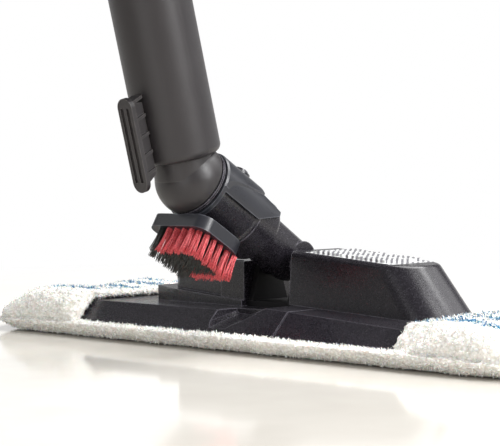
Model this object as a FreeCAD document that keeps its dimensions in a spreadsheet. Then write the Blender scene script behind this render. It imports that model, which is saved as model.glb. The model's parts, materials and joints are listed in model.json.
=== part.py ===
"""Steam mop: floor head, swivel neck with scrubbing brush, and the handle unit.

Millimetres. +X is the user's right, +Y points forward, away from the user, +Z is up.
The origin is the middle of the cleaning pad's sole, on the floor.  The neck and the
handle are modelled upright in frames of their own and leaned back by their placement.
"""
import FreeCAD
import Part
import Sketcher

import math
import os

Vector = FreeCAD.Vector
Rotation = FreeCAD.Rotation
Placement = FreeCAD.Placement

SIZES = [
    # head: pad and plate
    ("pad_length", 388.0),
    ("pad_depth", 116.0),
    ("pad_thick", 8.2),
    ("pad_corner", 30.0),
    ("pocket_edge", 112.0),
    ("pocket_thick", 8.0),
    ("plate_length", 312.0),
    ("plate_depth", 101.0),
    ("plate_thick", 11.1),
    ("plate_corner", 26.0),
    ("plate_draft", 10.8),
    ("notch_half", 13.5),
    ("notch_depth", 24.0),
    ("notch_ramp", 20.0),
    ("crown_rise", 2.1),
    ("crown_slope", 0.05),
    ("seam_place", 36.0),
    ("seam_width", 0.9),
    ("soft_gap", 0.3),
    ("steam_plate_length", 210.0),
    ("steam_plate_depth", 60.0),
    ("steam_plate_thick", 2.4),
    ("jet_radius", 1.2),
    ("jet_pitch", 24.0),
    ("strip_length", 42.0),
    ("strip_thick", 1.0),
    # head: what stands on the plate
    ("slot_half", 16.4),
    ("tower_length", 55.6),
    ("tower_rear", 16.4),
    ("tower_front", 20.0),
    ("tower_reach", 3.0),
    ("flange_reach", 17.0),
    ("pilaster_length", 17.6),
    ("pilaster_rise", 1.6),
    ("tower_edge", 1.2),
    ("tower_height", 23.0),
    ("tower_flange", 4.5),
    ("flange_low", 3.2),
    ("flange_rise", 5.0),
    ("block_rear", 16.6),
    ("block_sink", 4.0),
    ("block_length", 98.0),
    ("block_depth", 45.0),
    ("block_height", 30.5),
    ("block_fall", 8.0),
    ("block_corner", 20.0),
    ("block_draft", 2.5),
    ("block_end", 28.0),
    ("block_edge", 3.0),
    ("tread_margin", 5.0),
    ("tread_recess", 1.6),
    ("tread_thick", 2.4),
    ("rib_pitch", 4.0),
    ("rib_width", 1.8),
    # neck pivot
    ("pivot_y", 0.0),
    ("pivot_z", 45.2),
    ("pivot_radius", 3.0),
    ("knuckle_radius", 12.3),
    ("knuckle_half", 12.3),
    ("ear_thick", 3.2),
    ("running_gap", 0.05),
    ("side_gap", 0.4),
    # neck
    ("neck_angle", 31.3),
    ("neck_length", 80.5),
    ("cone_radius", 13.0),
    ("ball_radius", 24.2),
    ("ball_place", 46.5),
    ("bulb_radius", 17.4),
    ("bulb_edge", 3.0),
    ("sleeve_start", 44.0),
    ("sleeve_radius", 17.2),
    ("neck_bore", 6.0),
    ("ring_radius", 19.25),
    ("ring_thick", 1.4),
    ("elbow_reach", 6.0),
    # scrubbing brush on the neck
    ("hood_radius", 19.1),
    ("hood_end", 45.0),
    ("wing_end", 31.5),
    ("tongue_rise", 0.6),
    ("tongue_low_half", 14.4),
    ("tongue_mid_half", 16.7),
    ("tongue_top_half", 19.7),
    ("hood_back", 12.7),
    ("wing_back", 10.3),
    ("wing_low", 7.2),
    ("hood_front", 2.4),
    ("hood_band", 2.5),
    ("bezel_back_corner", 7.0),
    ("bezel_front_corner", 12.0),
    ("brush_width", 41.0),
    ("brush_length", 34.0),
    ("brush_drop", 19.0),
    ("bezel_height", 7.0),
    ("tuft_radius", 2.0),
    ("tuft_pitch", 5.4),
    ("tuft_length", 13.0),
    ("button_radius", 4.0),
    ("button_travel", 2.0),
    ("button_place", 54.0),
    # handle
    ("handle_lean", 14.7),
    ("tube_radius", 20.25),
    ("tube_wall", 2.2),
    ("tube_start", 9.0),
    ("tube_chamfer", 4.0),
    ("tube_top", 300.0),
    ("collar_radius", 15.6),
    ("hook_plate_length", 47.0),
    ("hook_plate_width", 10.0),
    ("hook_plate_thick", 2.5),
    ("hook_stand_off", 7.6),
    ("hook_groove_depth", 0.8),
    ("hook_start", -1.2),
    ("hook_rib_count", 5),
    ("housing_width", 92.0),
    ("housing_depth", 100.0),
    ("housing_wall", 2.5),
    ("housing_low", 285.0),
    ("housing_full_low", 370.0),
    ("housing_full_top", 560.0),
    ("housing_top", 620.0),
    ("tank_low", 392.0),
    ("tank_top", 548.0),
    ("tank_back", 10.0),
    ("tank_gap", 0.6),
    ("tank_travel", 55.0),
    ("pole_radius", 12.5),
    ("pole_wall", 1.2),
    ("pole_top", 905.0),
    ("grip_low", 880.0),
    ("grip_top", 1075.0),
    ("grip_width", 34.0),
    ("grip_seam", 0.15),
    ("chassis_thick", 3.5),
    ("chassis_back", 6.0),
    ("chassis_low", 378.0),
    ("chassis_top", 587.0),
    ("boiler_radius", 18.0),
    ("boiler_low", 372.0),
    ("boiler_length", 80.0),
    ("outlet_drop", 9.0),
    ("pump_low", 465.0),
    ("pump_length", 60.0),
    ("pump_width", 34.0),
    ("valve_place", 495.0),
    ("valve_radius", 5.0),
    ("pipe_radius", 5.3),
    ("cap_radius", 12.0),
    ("cap_depth", 9.0),
    ("latch_place", 556.0),
    ("latch_travel", 3.0),
    ("dial_radius", 10.0),
    ("dial_place", 577.0),
    ("sleeve_wall", 2.2),
    ("upper_hook_place", 838.0),
    ("hook_stem", 6.0),
    ("trigger_width", 13.0),
    ("trigger_drop", 35.0),
    ("gland_place", 905.0),
    ("gland_radius", 6.5),
]

ORIGIN_PLANES = {"XY": "XY_Plane", "XZ": "XZ_Plane", "YZ": "YZ_Plane"}
AXES = {"X": Vector(1, 0, 0), "Y": Vector(0, 1, 0), "Z": Vector(0, 0, 1)}

os.makedirs("parts", exist_ok=True)
doc = FreeCAD.newDocument("SteamMop")
sheet = doc.addObject("Spreadsheet::Sheet", "Sizes")
for row, (alias, value) in enumerate(SIZES, start=1):
    sheet.set(f"A{row}", alias)
    sheet.set(f"B{row}", str(value))
    sheet.setAlias(f"B{row}", alias)
doc.recompute()

NODES = []


def size(text):
    """Number that an expression over the sheet's names gives now."""
    return float(sheet.evalExpression(text))


def bound(text):
    """The same expression, with each sheet name addressed from another object."""
    words = []
    word = ""
    for letter in text + " ":
        if letter.isalnum() or letter == "_":
            word += letter
            continue
        is_alias = any(word == alias for alias, _ in SIZES)
        words.append("Sizes." + word if is_alias else word)
        words.append(letter)
        word = ""
    return "".join(words).strip()


def bind(item, **expressions):
    """Ties properties to the sheet; a double underscore stands for a dot."""
    for name, text in expressions.items():
        item.setExpression(name.replace("__", "."), bound(text))


def lean_frame(angle, y, z, lift):
    """Frame turned back about X; its origin lies lift along its own axis from (0, y, z)."""
    turn = Rotation(Vector(1, 0, 0), angle)
    start = Vector(0, y, z) + turn.multVec(Vector(0, 0, lift))
    return Placement(start, turn)


HEAD = Placement()
NECK = lean_frame(90 - size("neck_angle"), size("pivot_y"), size("pivot_z"), 0)
ELBOW = lean_frame(
    90 - size("neck_angle"), size("pivot_y"), size("pivot_z"), size("neck_length + elbow_reach")
)
HANDLE = Placement(ELBOW.Base, Rotation(Vector(1, 0, 0), size("handle_lean")))
BEND = 90 - size("neck_angle") - size("handle_lean")


def node(item, name, frame=HEAD):
    """Marks an object as one finished piece and stands it in its frame."""
    if any("Placement" in path for path, _ in item.ExpressionEngine):
        holder = doc.addObject("Part::Compound", name + "_piece")
        holder.Links = [item]
        item = holder
    item.Label = name
    item.Placement = frame.multiply(item.Placement)
    NODES.append(item)
    return item


def place(item, x="0", y="0", z="0", axis="Z", turn=0.0):
    """Binds an object's position and turns its own Z towards an axis."""
    spin = {
        "X": Rotation(AXES["Y"], 90),
        "Y": Rotation(AXES["X"], -90),
        "Z": Rotation(),
    }[axis]
    own = Rotation(AXES["X"], turn)
    item.Placement = Placement(Vector(size(x), size(y), size(z)), own.multiply(spin))
    bind(item, Placement__Base__x=x, Placement__Base__y=y, Placement__Base__z=z)
    return item


def box(name, length, width, height, x="0", y="0", z="0"):
    """Box whose low corner is x, y, z."""
    item = doc.addObject("Part::Box", name)
    bind(item, Length=length, Width=width, Height=height)
    return place(item, x, y, z)


def cylinder(name, radius, height, x="0", y="0", z="0", axis="Z", turn=0.0):
    """Round bar that starts at x, y, z and runs along an axis."""
    item = doc.addObject("Part::Cylinder", name)
    bind(item, Radius=radius, Height=height)
    return place(item, x, y, z, axis, turn)


def ball(name, radius, x="0", y="0", z="0"):
    """Full ball."""
    item = doc.addObject("Part::Sphere", name)
    bind(item, Radius=radius)
    return place(item, x, y, z)


def fuse(name, *items):
    """One solid out of several."""
    item = doc.addObject("Part::MultiFuse", name)
    item.Shapes = list(items)
    item.Refine = True
    return item


def cut(name, base, *tools):
    """Base with every tool taken out of it, one after the other."""
    for number, tool in enumerate(tools):
        item = doc.addObject("Part::Cut", name if number == 0 else f"{name}_{number}")
        item.Base = base
        item.Tool = tool
        item.Refine = True
        base = item
    return base


def common(name, *items):
    """What several solids share."""
    item = doc.addObject("Part::MultiCommon", name)
    item.Shapes = list(items)
    item.Refine = True
    return item


def new_body(name):
    """Empty PartDesign body."""
    return doc.addObject("PartDesign::Body", name)


def sketch_on(body, name, plane, offset="0"):
    """Sketch on one of the body's origin planes, moved along that plane's normal."""
    sketch = body.newObject("Sketcher::SketchObject", name)
    for feature in body.Origin.OriginFeatures:
        if feature.Role == ORIGIN_PLANES[plane]:
            sketch.AttachmentSupport = [(feature, "")]
    sketch.MapMode = "FlatFace"
    sketch.setExpression(".AttachmentOffset.Base.z", bound(offset))
    return sketch


def outline(body, name, plane, corners, offset="0"):
    """Closed outline of straight edges through corners given as expressions."""
    sketch = sketch_on(body, name, plane, offset)
    points = [Vector(size(u), size(v), 0) for u, v in corners]
    count = len(points)
    for i, point in enumerate(points):
        sketch.addGeometry(Part.LineSegment(point, points[(i + 1) % count]), False)
    for i in range(count):
        sketch.addConstraint(Sketcher.Constraint("Coincident", i, 2, (i + 1) % count, 1))
    for i, (u, v) in enumerate(corners):
        pin_point(sketch, i, 1, u, v, points[i])
    return sketch


def pin_point(sketch, edge, end, u, v, point):
    """Holds one sketch point at its two coordinates."""
    for kind, text, value in (("DistanceX", u, point.x), ("DistanceY", v, point.y)):
        if value == 0 and text == "0":
            other = "PointOnObject"
            line = -2 if kind == "DistanceX" else -1
            sketch.addConstraint(Sketcher.Constraint(other, edge, end, line))
            continue
        index = sketch.addConstraint(Sketcher.Constraint(kind, -1, 1, edge, end, value))
        sketch.setExpression(f"Constraints[{index}]", bound(text))


def circle_on(body, name, plane, radius, u="0", v="0", offset="0"):
    """Circle of a bound radius about a bound centre."""
    sketch = sketch_on(body, name, plane, offset)
    centre = Vector(size(u), size(v), 0)
    sketch.addGeometry(Part.Circle(centre, Vector(0, 0, 1), size(radius)), False)
    pin_point(sketch, 0, 3, u, v, centre)
    index = sketch.addConstraint(Sketcher.Constraint("Radius", 0, size(radius)))
    sketch.setExpression(f"Constraints[{index}]", bound(radius))
    return sketch


def padded(body, sketch, length, middle=False, back=False):
    """Pad of a sketch."""
    pad = body.newObject("PartDesign::Pad", sketch.Name + "_pad")
    pad.Profile = sketch
    pad.setExpression("Length", bound(length))
    pad.Midplane = middle
    pad.Reversed = back
    return pad


def pocketed(body, sketch, length, middle=False, back=False):
    """Pocket of a sketch."""
    pocket = body.newObject("PartDesign::Pocket", sketch.Name + "_pocket")
    pocket.Profile = sketch
    pocket.setExpression("Length", bound(length))
    pocket.Midplane = middle
    pocket.Reversed = back
    return pocket


def prism(name, plane, corners, length, offset="0", middle=False, back=False):
    """Body padded from one outline."""
    body = new_body(name)
    padded(body, outline(body, name + "_outline", plane, corners, offset), length, middle, back)
    return body


def turned(name, corners, angle=360.0):
    """Body revolved about Z from an outline of radius and height."""
    body = new_body(name)
    sketch = outline(body, name + "_section", "XZ", corners)
    spin = body.newObject("PartDesign::Revolution", name + "_turn")
    spin.Profile = sketch
    spin.ReferenceAxis = (sketch, ["V_Axis"])
    spin.Angle = angle
    return body


def edges_where(item, test):
    """Names of an object's edges whose middle passes a test."""
    doc.recompute()
    found = []
    for number, edge in enumerate(item.Shape.Edges, start=1):
        middle = edge.valueAt((edge.FirstParameter + edge.LastParameter) / 2)
        if test(edge, middle):
            found.append(number)
    return found


def rounded(name, item, radius, test):
    """Fillet of the edges that pass a test."""
    numbers = edges_where(item, test)
    blend = doc.addObject("Part::Fillet", name)
    blend.Base = item
    blend.Edges = [(number, size(radius), size(radius)) for number in numbers]
    return blend


def body_round(body, radius, test):
    """PartDesign fillet on a body's tip."""
    tip = body.Tip
    names = [f"Edge{number}" for number in edges_where(tip, test)]
    blend = body.newObject("PartDesign::Fillet", body.Name + "_round" + str(len(body.Group)))
    blend.Base = (tip, names)
    blend.setExpression("Radius", bound(radius))
    body.Tip = blend
    return blend


def upright(edge, middle):
    """Whether an edge runs along Z."""
    ends = edge.Vertexes
    if len(ends) < 2:
        return False
    run = ends[1].Point.sub(ends[0].Point)
    return abs(run.z) > 0.9 * run.Length and run.Length > 1e-6


def level_at(height):
    """Test for edges that lie at one height."""
    return lambda edge, middle: all(abs(v.Point.z - height) < 1e-4 for v in edge.Vertexes)


def rounded_slab(name, length, depth, corner, thick, z="0", shrink_top="0"):
    """Level slab with round corners, its walls leaning in by shrink_top at the top."""
    body = new_body(name)
    low = corner_sketch(body, name + "_low", length, depth, corner, z)
    high = corner_sketch(
        body,
        name + "_high",
        f"{length} - 2 * ({shrink_top})",
        f"{depth} - 2 * ({shrink_top})",
        f"{corner} - ({shrink_top})",
        f"{z} + {thick}",
    )
    loft = body.newObject("PartDesign::AdditiveLoft", name + "_loft")
    loft.Profile = low
    loft.Sections = [high]
    loft.Ruled = True
    return body


def corner_sketch(body, name, length, depth, corner, offset, x="0", y="0"):
    """Rectangle with round corners about a centre, on a level plane."""
    sketch = sketch_on(body, name, "XY", offset)
    half_x = size(f"({length}) / 2")
    half_y = size(f"({depth}) / 2")
    radius = size(corner)
    cx = size(x)
    cy = size(y)
    spots = [(1, -1, -90), (1, 1, 0), (-1, 1, 90), (-1, -1, 180)]
    for sx, sy, start in spots:
        centre = Vector(cx + sx * (half_x - radius), cy + sy * (half_y - radius), 0)
        ring = Part.Circle(centre, Vector(0, 0, 1), radius)
        first = math.radians(start)
        sketch.addGeometry(Part.ArcOfCircle(ring, first, first + math.pi / 2), False)
    for i in range(4):
        here = sketch.Geometry[i].EndPoint
        there = sketch.Geometry[(i + 1) % 4].StartPoint
        sketch.addGeometry(Part.LineSegment(here, there), False)
    for i in range(4):
        sketch.addConstraint(Sketcher.Constraint("Tangent", i, 2, 4 + i, 1))
        sketch.addConstraint(Sketcher.Constraint("Tangent", 4 + i, 2, (i + 1) % 4, 1))
    for i in range(3):
        sketch.addConstraint(Sketcher.Constraint("Equal", i, i + 1))
    index = sketch.addConstraint(Sketcher.Constraint("Radius", 0, radius))
    sketch.setExpression(f"Constraints[{index}]", bound(corner))
    sides = [
        ("Horizontal", 7, None),
        ("Vertical", 4, None),
        ("DistanceX", 4, f"{x} + ({length}) / 2"),
        ("DistanceX", 6, f"{x} - ({length}) / 2"),
        ("DistanceY", 5, f"{y} + ({depth}) / 2"),
        ("DistanceY", 7, f"{y} - ({depth}) / 2"),
    ]
    for kind, edge, text in sides:
        if text is None:
            sketch.addConstraint(Sketcher.Constraint(kind, edge))
            continue
        index = sketch.addConstraint(Sketcher.Constraint(kind, -1, 1, edge, 1, size(text)))
        sketch.setExpression(f"Constraints[{index}]", bound(text))
    return sketch


# ---------------------------------------------------------------- head: plate and pad

PLATE_LOW = "pad_thick + soft_gap"
PLATE_TOP = "pad_thick + soft_gap + plate_thick"


def crown_height(x):
    """Height of the plate's right half, which rises at the notch and falls outwards."""
    return f"{PLATE_TOP} + crown_rise - (({x}) - notch_ramp) * crown_slope"


def make_base_plate():
    """Plate with a crowned right half, a scooped notch in its rear edge and a seam."""
    slab = rounded_slab(
        "plate_slab", "plate_length", "plate_depth", "plate_corner",
        "plate_thick + crown_rise", PLATE_LOW,
        "plate_draft * (plate_thick + crown_rise) / plate_thick",
    )
    over = f"{PLATE_TOP} + 2 * plate_thick"
    trim = prism("plate_trim", "XZ", [
        ("-plate_length", PLATE_TOP),
        ("slot_half", PLATE_TOP),
        ("notch_ramp", crown_height("notch_ramp")),
        ("plate_length", crown_height("plate_length")),
        ("plate_length", over),
        ("-plate_length", over),
    ], "2 * plate_depth", middle=True)
    scoop = new_body("notch_scoop")
    outer = outline(scoop, "notch_outer", "XZ", [
        ("-notch_half", over),
        ("-notch_half", f"{PLATE_LOW} + 4"),
        ("-notch_half + 2.5", f"{PLATE_LOW} + 1.4"),
        ("0", f"{PLATE_LOW} + 1.2"),
        ("0.4 * notch_ramp", f"{PLATE_LOW} + 4.3"),
        ("0.9 * notch_ramp", f"{PLATE_LOW} + 9.5"),
        ("notch_ramp + 14", over),
    ], "plate_depth / 2 + 1")
    inner = outline(scoop, "notch_inner", "XZ", [
        ("-notch_half + 2", over),
        ("-notch_half + 2", f"{PLATE_TOP} - 1.5"),
        ("-notch_half + 4", f"{PLATE_TOP} - 3"),
        ("-2", f"{PLATE_TOP} - 3"),
        ("5", f"{PLATE_TOP} - 2"),
        ("12", f"{PLATE_TOP} - 0.5"),
        ("notch_ramp + 8", over),
    ], "plate_depth / 2 - notch_depth")
    loft = scoop.newObject("PartDesign::AdditiveLoft", "notch_loft")
    loft.Profile = outer
    loft.Sections = [inner]
    loft.Ruled = True
    wall = "-plate_depth / 2 + 1.3"
    floor = f"{PLATE_TOP} + 0.5"
    seam = prism("plate_seam", "YZ", [
        ("-plate_depth / 2 - 1", f"{PLATE_LOW} + 1"),
        (f"{wall} + 1", f"{PLATE_LOW} + 1"),
        (f"{wall} + plate_draft + 0.5", floor),
        ("pivot_y - block_rear", floor),
        ("pivot_y - block_rear", over),
        ("-plate_depth / 2 - 1", over),
    ], "seam_width", "seam_place")
    recess = rounded_slab(
        "steam_recess", "steam_plate_length", "steam_plate_depth", "plate_corner / 2",
        "steam_plate_thick", PLATE_LOW,
    )
    strips = []
    for side in (-1, 1):
        strips.append(box(
            f"strip_recess_{side}".replace("-", "n"), "strip_length", "steam_plate_depth",
            "strip_thick", strip_place(side), "-steam_plate_depth / 2", PLATE_LOW,
        ))
    node(cut("plate_cut", slab, trim, scoop, seam, recess, *strips), "base_plate")


def strip_place(side):
    """Low X of the gripping strip on one side."""
    gap = "steam_plate_length / 2 + pad_corner / 12"
    return gap if side > 0 else f"-({gap}) - strip_length"


def make_steam_plate():
    """Plate under the head with its row of steam jets."""
    slab = rounded_slab(
        "steam_slab", "steam_plate_length - 2 * soft_gap", "steam_plate_depth - 2 * soft_gap",
        "plate_corner / 2 - soft_gap", "steam_plate_thick", PLATE_LOW,
    )
    jets = []
    count = int(size("steam_plate_length / jet_pitch")) - 1
    for i in range(count):
        jets.append(cylinder(
            f"jet_{i}", "jet_radius", "steam_plate_thick + 2",
            f"({i} - {(count - 1) / 2}) * jet_pitch", "0", f"{PLATE_LOW} - 1",
        ))
    node(cut("steam_cut", slab, *jets), "steam_plate")


def make_strips():
    """Hook strips that hold the pad."""
    strips = []
    for side in (-1, 1):
        strips.append(box(
            f"strip_{side}".replace("-", "n"), "strip_length", "steam_plate_depth",
            "strip_thick", strip_place(side), "-steam_plate_depth / 2", PLATE_LOW,
        ))
    pair = doc.addObject("Part::Compound", "strip_pair")
    pair.Links = strips
    node(pair, "hook_strips")


def make_pad():
    """Microfibre pad with a pocket over each end of the plate."""
    sole = rounded_slab("pad_sole", "pad_length", "pad_depth", "pad_corner", "pad_thick")
    dome = rounded_slab(
        "pocket_dome", "pad_length", "pad_depth", "pad_corner",
        "plate_thick + soft_gap + pocket_thick", "pad_thick", "plate_draft * 2",
    )
    middle = box(
        "pocket_mouth", "pocket_edge * 2", "pad_depth * 2", "plate_thick * 3",
        "-pocket_edge", "-pad_depth", "pad_thick",
    )
    inside = rounded_slab(
        "pocket_inside", "plate_length + 4 * soft_gap", "plate_depth + 4 * soft_gap",
        "plate_corner + 2 * soft_gap", "plate_thick + 2 * soft_gap", "pad_thick",
        "plate_draft",
    )
    pockets = cut("pockets", dome, middle, inside)
    node(fuse("pad_whole", sole, pockets), "pad")


# ---------------------------------------------------------------- head: covers

def tower_plan(grow, reach):
    """Corners of the pedestal's plan, which narrows to the left, grown by a margin."""
    left = "-slot_half - tower_length"
    return [
        ("-slot_half", f"pivot_y - tower_rear + 2.5 - {grow}"),
        (left, f"pivot_y - tower_rear + 4.5 - {grow}"),
        (f"{left} - {reach}", f"pivot_y - tower_rear + 6 - {grow} / 2"),
        (f"{left} - {reach}", "pivot_y + tower_front / 2"),
        (left, f"pivot_y + tower_front - 6 + {grow}"),
        ("-slot_half", f"pivot_y + tower_front + {grow}"),
    ]


def make_tower():
    """Pedestal left of the neck: shaft, taller pilaster at the neck, and a wedge foot."""
    plan = prism(
        "tower_foot_plan", "XY", tower_plan("tower_flange", "flange_reach"),
        "2 * tower_height", PLATE_TOP,
    )
    left = "-slot_half - tower_length - flange_reach"
    wedge = prism("tower_foot_side", "XZ", [
        (f"{left} - 1", PLATE_TOP),
        ("-slot_half", PLATE_TOP),
        ("-slot_half", f"{PLATE_TOP} + flange_low"),
        (f"{left} - 1", f"{PLATE_TOP} + flange_low + flange_rise"),
    ], "8 * tower_front", middle=True)
    body = new_body("tower_body")
    shaft = outline(body, "tower_shaft", "XY", tower_plan("0", "tower_reach"), PLATE_TOP)
    padded(body, shaft, "tower_height")
    pilaster = rect_sketch(
        body, "tower_pilaster", "-slot_half - pilaster_length", "-slot_half",
        "pivot_y - tower_rear", "pivot_y + tower_front - 2", PLATE_TOP,
    )
    padded(body, pilaster, "tower_height + pilaster_rise")
    top = size(PLATE_TOP) + size("tower_height")
    body_round(body, "tower_edge", level_at(top + size("pilaster_rise")))
    node(fuse("tower_whole", body, common("tower_foot", plan, wedge)), "left_tower")


def rect_sketch(body, name, x0, x1, y0, y1, offset):
    """Level rectangle between two X and two Y values."""
    return outline(body, name, "XY", [(x0, y0), (x1, y0), (x1, y1), (x0, y1)], offset)


BLOCK_MIDDLE = "pivot_y - block_rear + block_depth / 2"


def make_block():
    """Housing block right of the neck: drafted walls, round outer corners, falling top."""
    body = new_body("block_body")
    depth = "block_depth - 2 * block_draft"
    low = corner_sketch(
        body, "block_low", "block_length * 2", "block_depth", "block_corner",
        f"{PLATE_TOP} - block_sink", "slot_half", BLOCK_MIDDLE,
    )
    high = corner_sketch(
        body, "block_high", "(block_length - block_end) * 2", depth,
        "block_corner - block_draft", f"{PLATE_TOP} + block_height", "slot_half",
        BLOCK_MIDDLE,
    )
    loft = body.newObject("PartDesign::AdditiveLoft", "block_loft")
    loft.Profile = low
    loft.Sections = [high]
    loft.Ruled = True
    body.Tip = loft
    half = outline(body, "block_half", "XZ", [
        ("slot_half - 2 * block_length", "0"),
        ("slot_half", "0"),
        ("slot_half", f"{PLATE_TOP} + 2 * block_height"),
        ("slot_half - 2 * block_length", f"{PLATE_TOP} + 2 * block_height"),
    ])
    pocketed(body, half, "4 * block_depth", middle=True)
    seat = outline(body, "block_seat", "XZ", [
        ("slot_half - 1", crown_height("slot_half - 1")),
        ("slot_half + 2 * block_length", crown_height("slot_half + 2 * block_length")),
        ("slot_half + 2 * block_length", "0"),
        ("slot_half - 1", "0"),
    ])
    pocketed(body, seat, "4 * block_depth", middle=True)
    fall = outline(body, "block_fall_line", "XZ", [
        ("slot_half - 1", f"{PLATE_TOP} + block_height"),
        ("slot_half + block_length", f"{PLATE_TOP} + block_height - block_fall"),
        ("slot_half + block_length", f"{PLATE_TOP} + 2 * block_height"),
        ("slot_half - 1", f"{PLATE_TOP} + 2 * block_height"),
    ])
    pocketed(body, fall, "4 * block_depth", middle=True)
    edge_low = size(f"{PLATE_TOP} + block_height - block_fall") - 0.1
    body_round(body, "block_edge", lambda e, m: m.z > edge_low and m.x > size("slot_half") + 0.5)
    recess = outline(
        body, "tread_seat", "XZ", tread_line("0", "5"),
        f"-({BLOCK_MIDDLE}) - block_depth / 2 + tread_margin",
    )
    pocketed(body, recess, "block_depth - 2 * tread_margin", back=True)
    node(body, "pedal_housing")


def tread_line(low, high):
    """Corners of a strip that follows the block's falling top, between two heights."""
    slope = "block_fall / (block_length + 1)"
    start = "slot_half + 2 + tread_margin"
    run = "block_length - block_end - tread_margin * 1.5 - 5"
    base = f"{PLATE_TOP} + block_height - tread_recess - (tread_margin + 3) * {slope}"
    return [
        (start, f"{base} + {low}"),
        (f"{start} + {run}", f"{base} - ({run}) * {slope} + {low}"),
        (f"{start} + {run}", f"{base} - ({run}) * {slope} + {high}"),
        (start, f"{base} + {high}"),
    ]


def make_tread():
    """Ribbed foot tread let into the block's top."""
    body = new_body("tread_body")
    strip = outline(
        body, "tread_strip", "XZ", tread_line("0", "tread_recess"),
        f"-({BLOCK_MIDDLE}) - block_depth / 2 + tread_margin + soft_gap",
    )
    padded(body, strip, "block_depth - 2 * (tread_margin + soft_gap)")
    first = "slot_half + 2 + tread_margin + rib_pitch / 2"
    low = f"{PLATE_TOP} + block_height - tread_recess * 0.75 - block_fall / 11"
    rib = outline(body, "tread_rib", "XZ", [
        (first, low),
        (f"{first} + rib_width", low),
        (f"{first} + rib_width", f"{low} + tread_thick"),
        (first, f"{low} + tread_thick"),
    ], f"-({BLOCK_MIDDLE}) - block_depth / 2 + tread_margin * 1.5")
    row = body.newObject("PartDesign::LinearPattern", "tread_ribs")
    row.Originals = [padded(body, rib, "block_depth - 3 * tread_margin")]
    guide = outline(body, "tread_guide", "XZ", tread_line("0", "tread_recess"), BLOCK_MIDDLE)
    row.Direction = (guide, ["Edge1"])
    run = size("block_length - block_end - tread_margin * 1.5 - 5 - 2 * rib_pitch")
    row.Occurrences = int(run / size("rib_pitch")) + 1
    row.setExpression("Length", bound(f"rib_pitch * {row.Occurrences - 1}"))
    body.Tip = row
    node(body, "foot_tread")


def make_bracket():
    """Two ears on a foot that carry the neck's pivot pin."""
    body = new_body("bracket_body")
    foot = rect_sketch(
        body, "bracket_foot", "-slot_half + soft_gap", "slot_half - soft_gap",
        "pivot_y - tower_rear + 2", "pivot_y + tower_front", PLATE_TOP,
    )
    padded(body, foot, "3")
    inner = "knuckle_half + side_gap"
    for label, low, high in (
        ("left", f"-({inner}) - ear_thick", f"-({inner})"),
        ("right", inner, f"{inner} + ear_thick"),
    ):
        ear = outline(body, f"ear_{label}", "YZ", [
            ("pivot_y - 14", f"{PLATE_TOP} + 2"),
            ("pivot_y + 14", f"{PLATE_TOP} + 2"),
            ("pivot_y + pivot_radius + 3", "pivot_z + 1"),
            ("pivot_y + 4", "pivot_z + pivot_radius + 1.4"),
            ("pivot_y - 4", "pivot_z + pivot_radius + 1.4"),
            ("pivot_y - pivot_radius - 3", "pivot_z + 1"),
        ], low)
        padded(body, ear, f"({high}) - ({low})")
    hole = circle_on(body, "pin_hole", "YZ", "pivot_radius + running_gap", "pivot_y", "pivot_z")
    pocketed(body, hole, "4 * slot_half", middle=True)
    node(body, "pivot_bracket")


def make_pin():
    """Pin through both ears and the neck's knuckle."""
    reach = "knuckle_half + side_gap + ear_thick"
    bar = cylinder("pin_bar", "pivot_radius", f"2 * ({reach})", f"-({reach})", "pivot_y", "pivot_z", "X")
    node(bar, "pivot_pin")


# ---------------------------------------------------------------- neck

SLEEVE_LOW = "sleeve_start"
SLEEVE_TOP = "neck_length - ring_thick"
HOOD_TOP = "neck_length - 4.2"


def make_neck_tube():
    """Knuckle, slim cone and blunt bulb in one piece, bored for the steam hose."""
    junction = "ball_place - sqrt(ball_radius ^ 2 - cone_radius ^ 2)"
    shaft = turned("neck_shaft", [
        ("neck_bore", "-knuckle_radius"),
        ("knuckle_radius", "-knuckle_radius"),
        ("knuckle_radius", "0"),
        ("cone_radius", f"{junction} + 1"),
        ("cone_radius", SLEEVE_LOW),
        ("neck_bore", SLEEVE_LOW),
    ])
    knuckle = cylinder(
        "knuckle", "knuckle_radius - 3", "2 * knuckle_half", "-knuckle_half", axis="X",
    )
    lower = common("neck_foot", shaft, neck_foot_limit())
    limit = cylinder("bulb_limit", "bulb_radius", SLEEVE_LOW)
    bulb = common("neck_bulb", ball("neck_ball", "ball_radius", z="ball_place"), limit)
    rim = size("ball_place - sqrt(ball_radius ^ 2 - bulb_radius ^ 2)")
    soft = rounded("bulb_soft", bulb, "bulb_edge", level_at(rim))
    whole = fuse("neck_whole", lower, knuckle, soft)
    pin = cylinder("knuckle_hole", "pivot_radius + running_gap", "60", "-30", axis="X")
    bore = cylinder("neck_bore_cut", "neck_bore", "80", z="pivot_radius + 6")
    node(cut("neck_cut", whole, pin, bore), "neck_tube", NECK)


def neck_foot_limit():
    """Rounds the shaft's lower end."""
    low = ball("limit_round", "knuckle_radius")
    high = box("limit_high", "60", "60", "80", "-30", "-30", "0")
    return fuse("foot_limit", low, high)


def make_sleeve():
    """Neck sleeve between the ball and the swivel."""
    body = turned("sleeve_body", [
        ("neck_bore + 2", SLEEVE_LOW),
        ("bulb_radius + 0.1", SLEEVE_LOW),
        ("bulb_radius + 0.1", f"{SLEEVE_LOW} + 1.5"),
        ("sleeve_radius", f"{SLEEVE_LOW} + 3"),
        ("sleeve_radius", f"{SLEEVE_TOP} - 2"),
        ("ring_radius - 0.6", f"{SLEEVE_TOP} - 1.5"),
        ("ring_radius - 0.6", SLEEVE_TOP),
        ("neck_bore + 2", SLEEVE_TOP),
    ])
    node(body, "neck_sleeve", NECK)
    seal = turned("seal_body", [
        ("neck_bore + 5", SLEEVE_TOP),
        ("ring_radius - 1.6", SLEEVE_TOP),
        ("ring_radius - 1.6", "neck_length - side_gap / 4"),
        ("neck_bore + 5", "neck_length - side_gap / 4"),
    ])
    node(seal, "swivel_seal", NECK)


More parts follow.
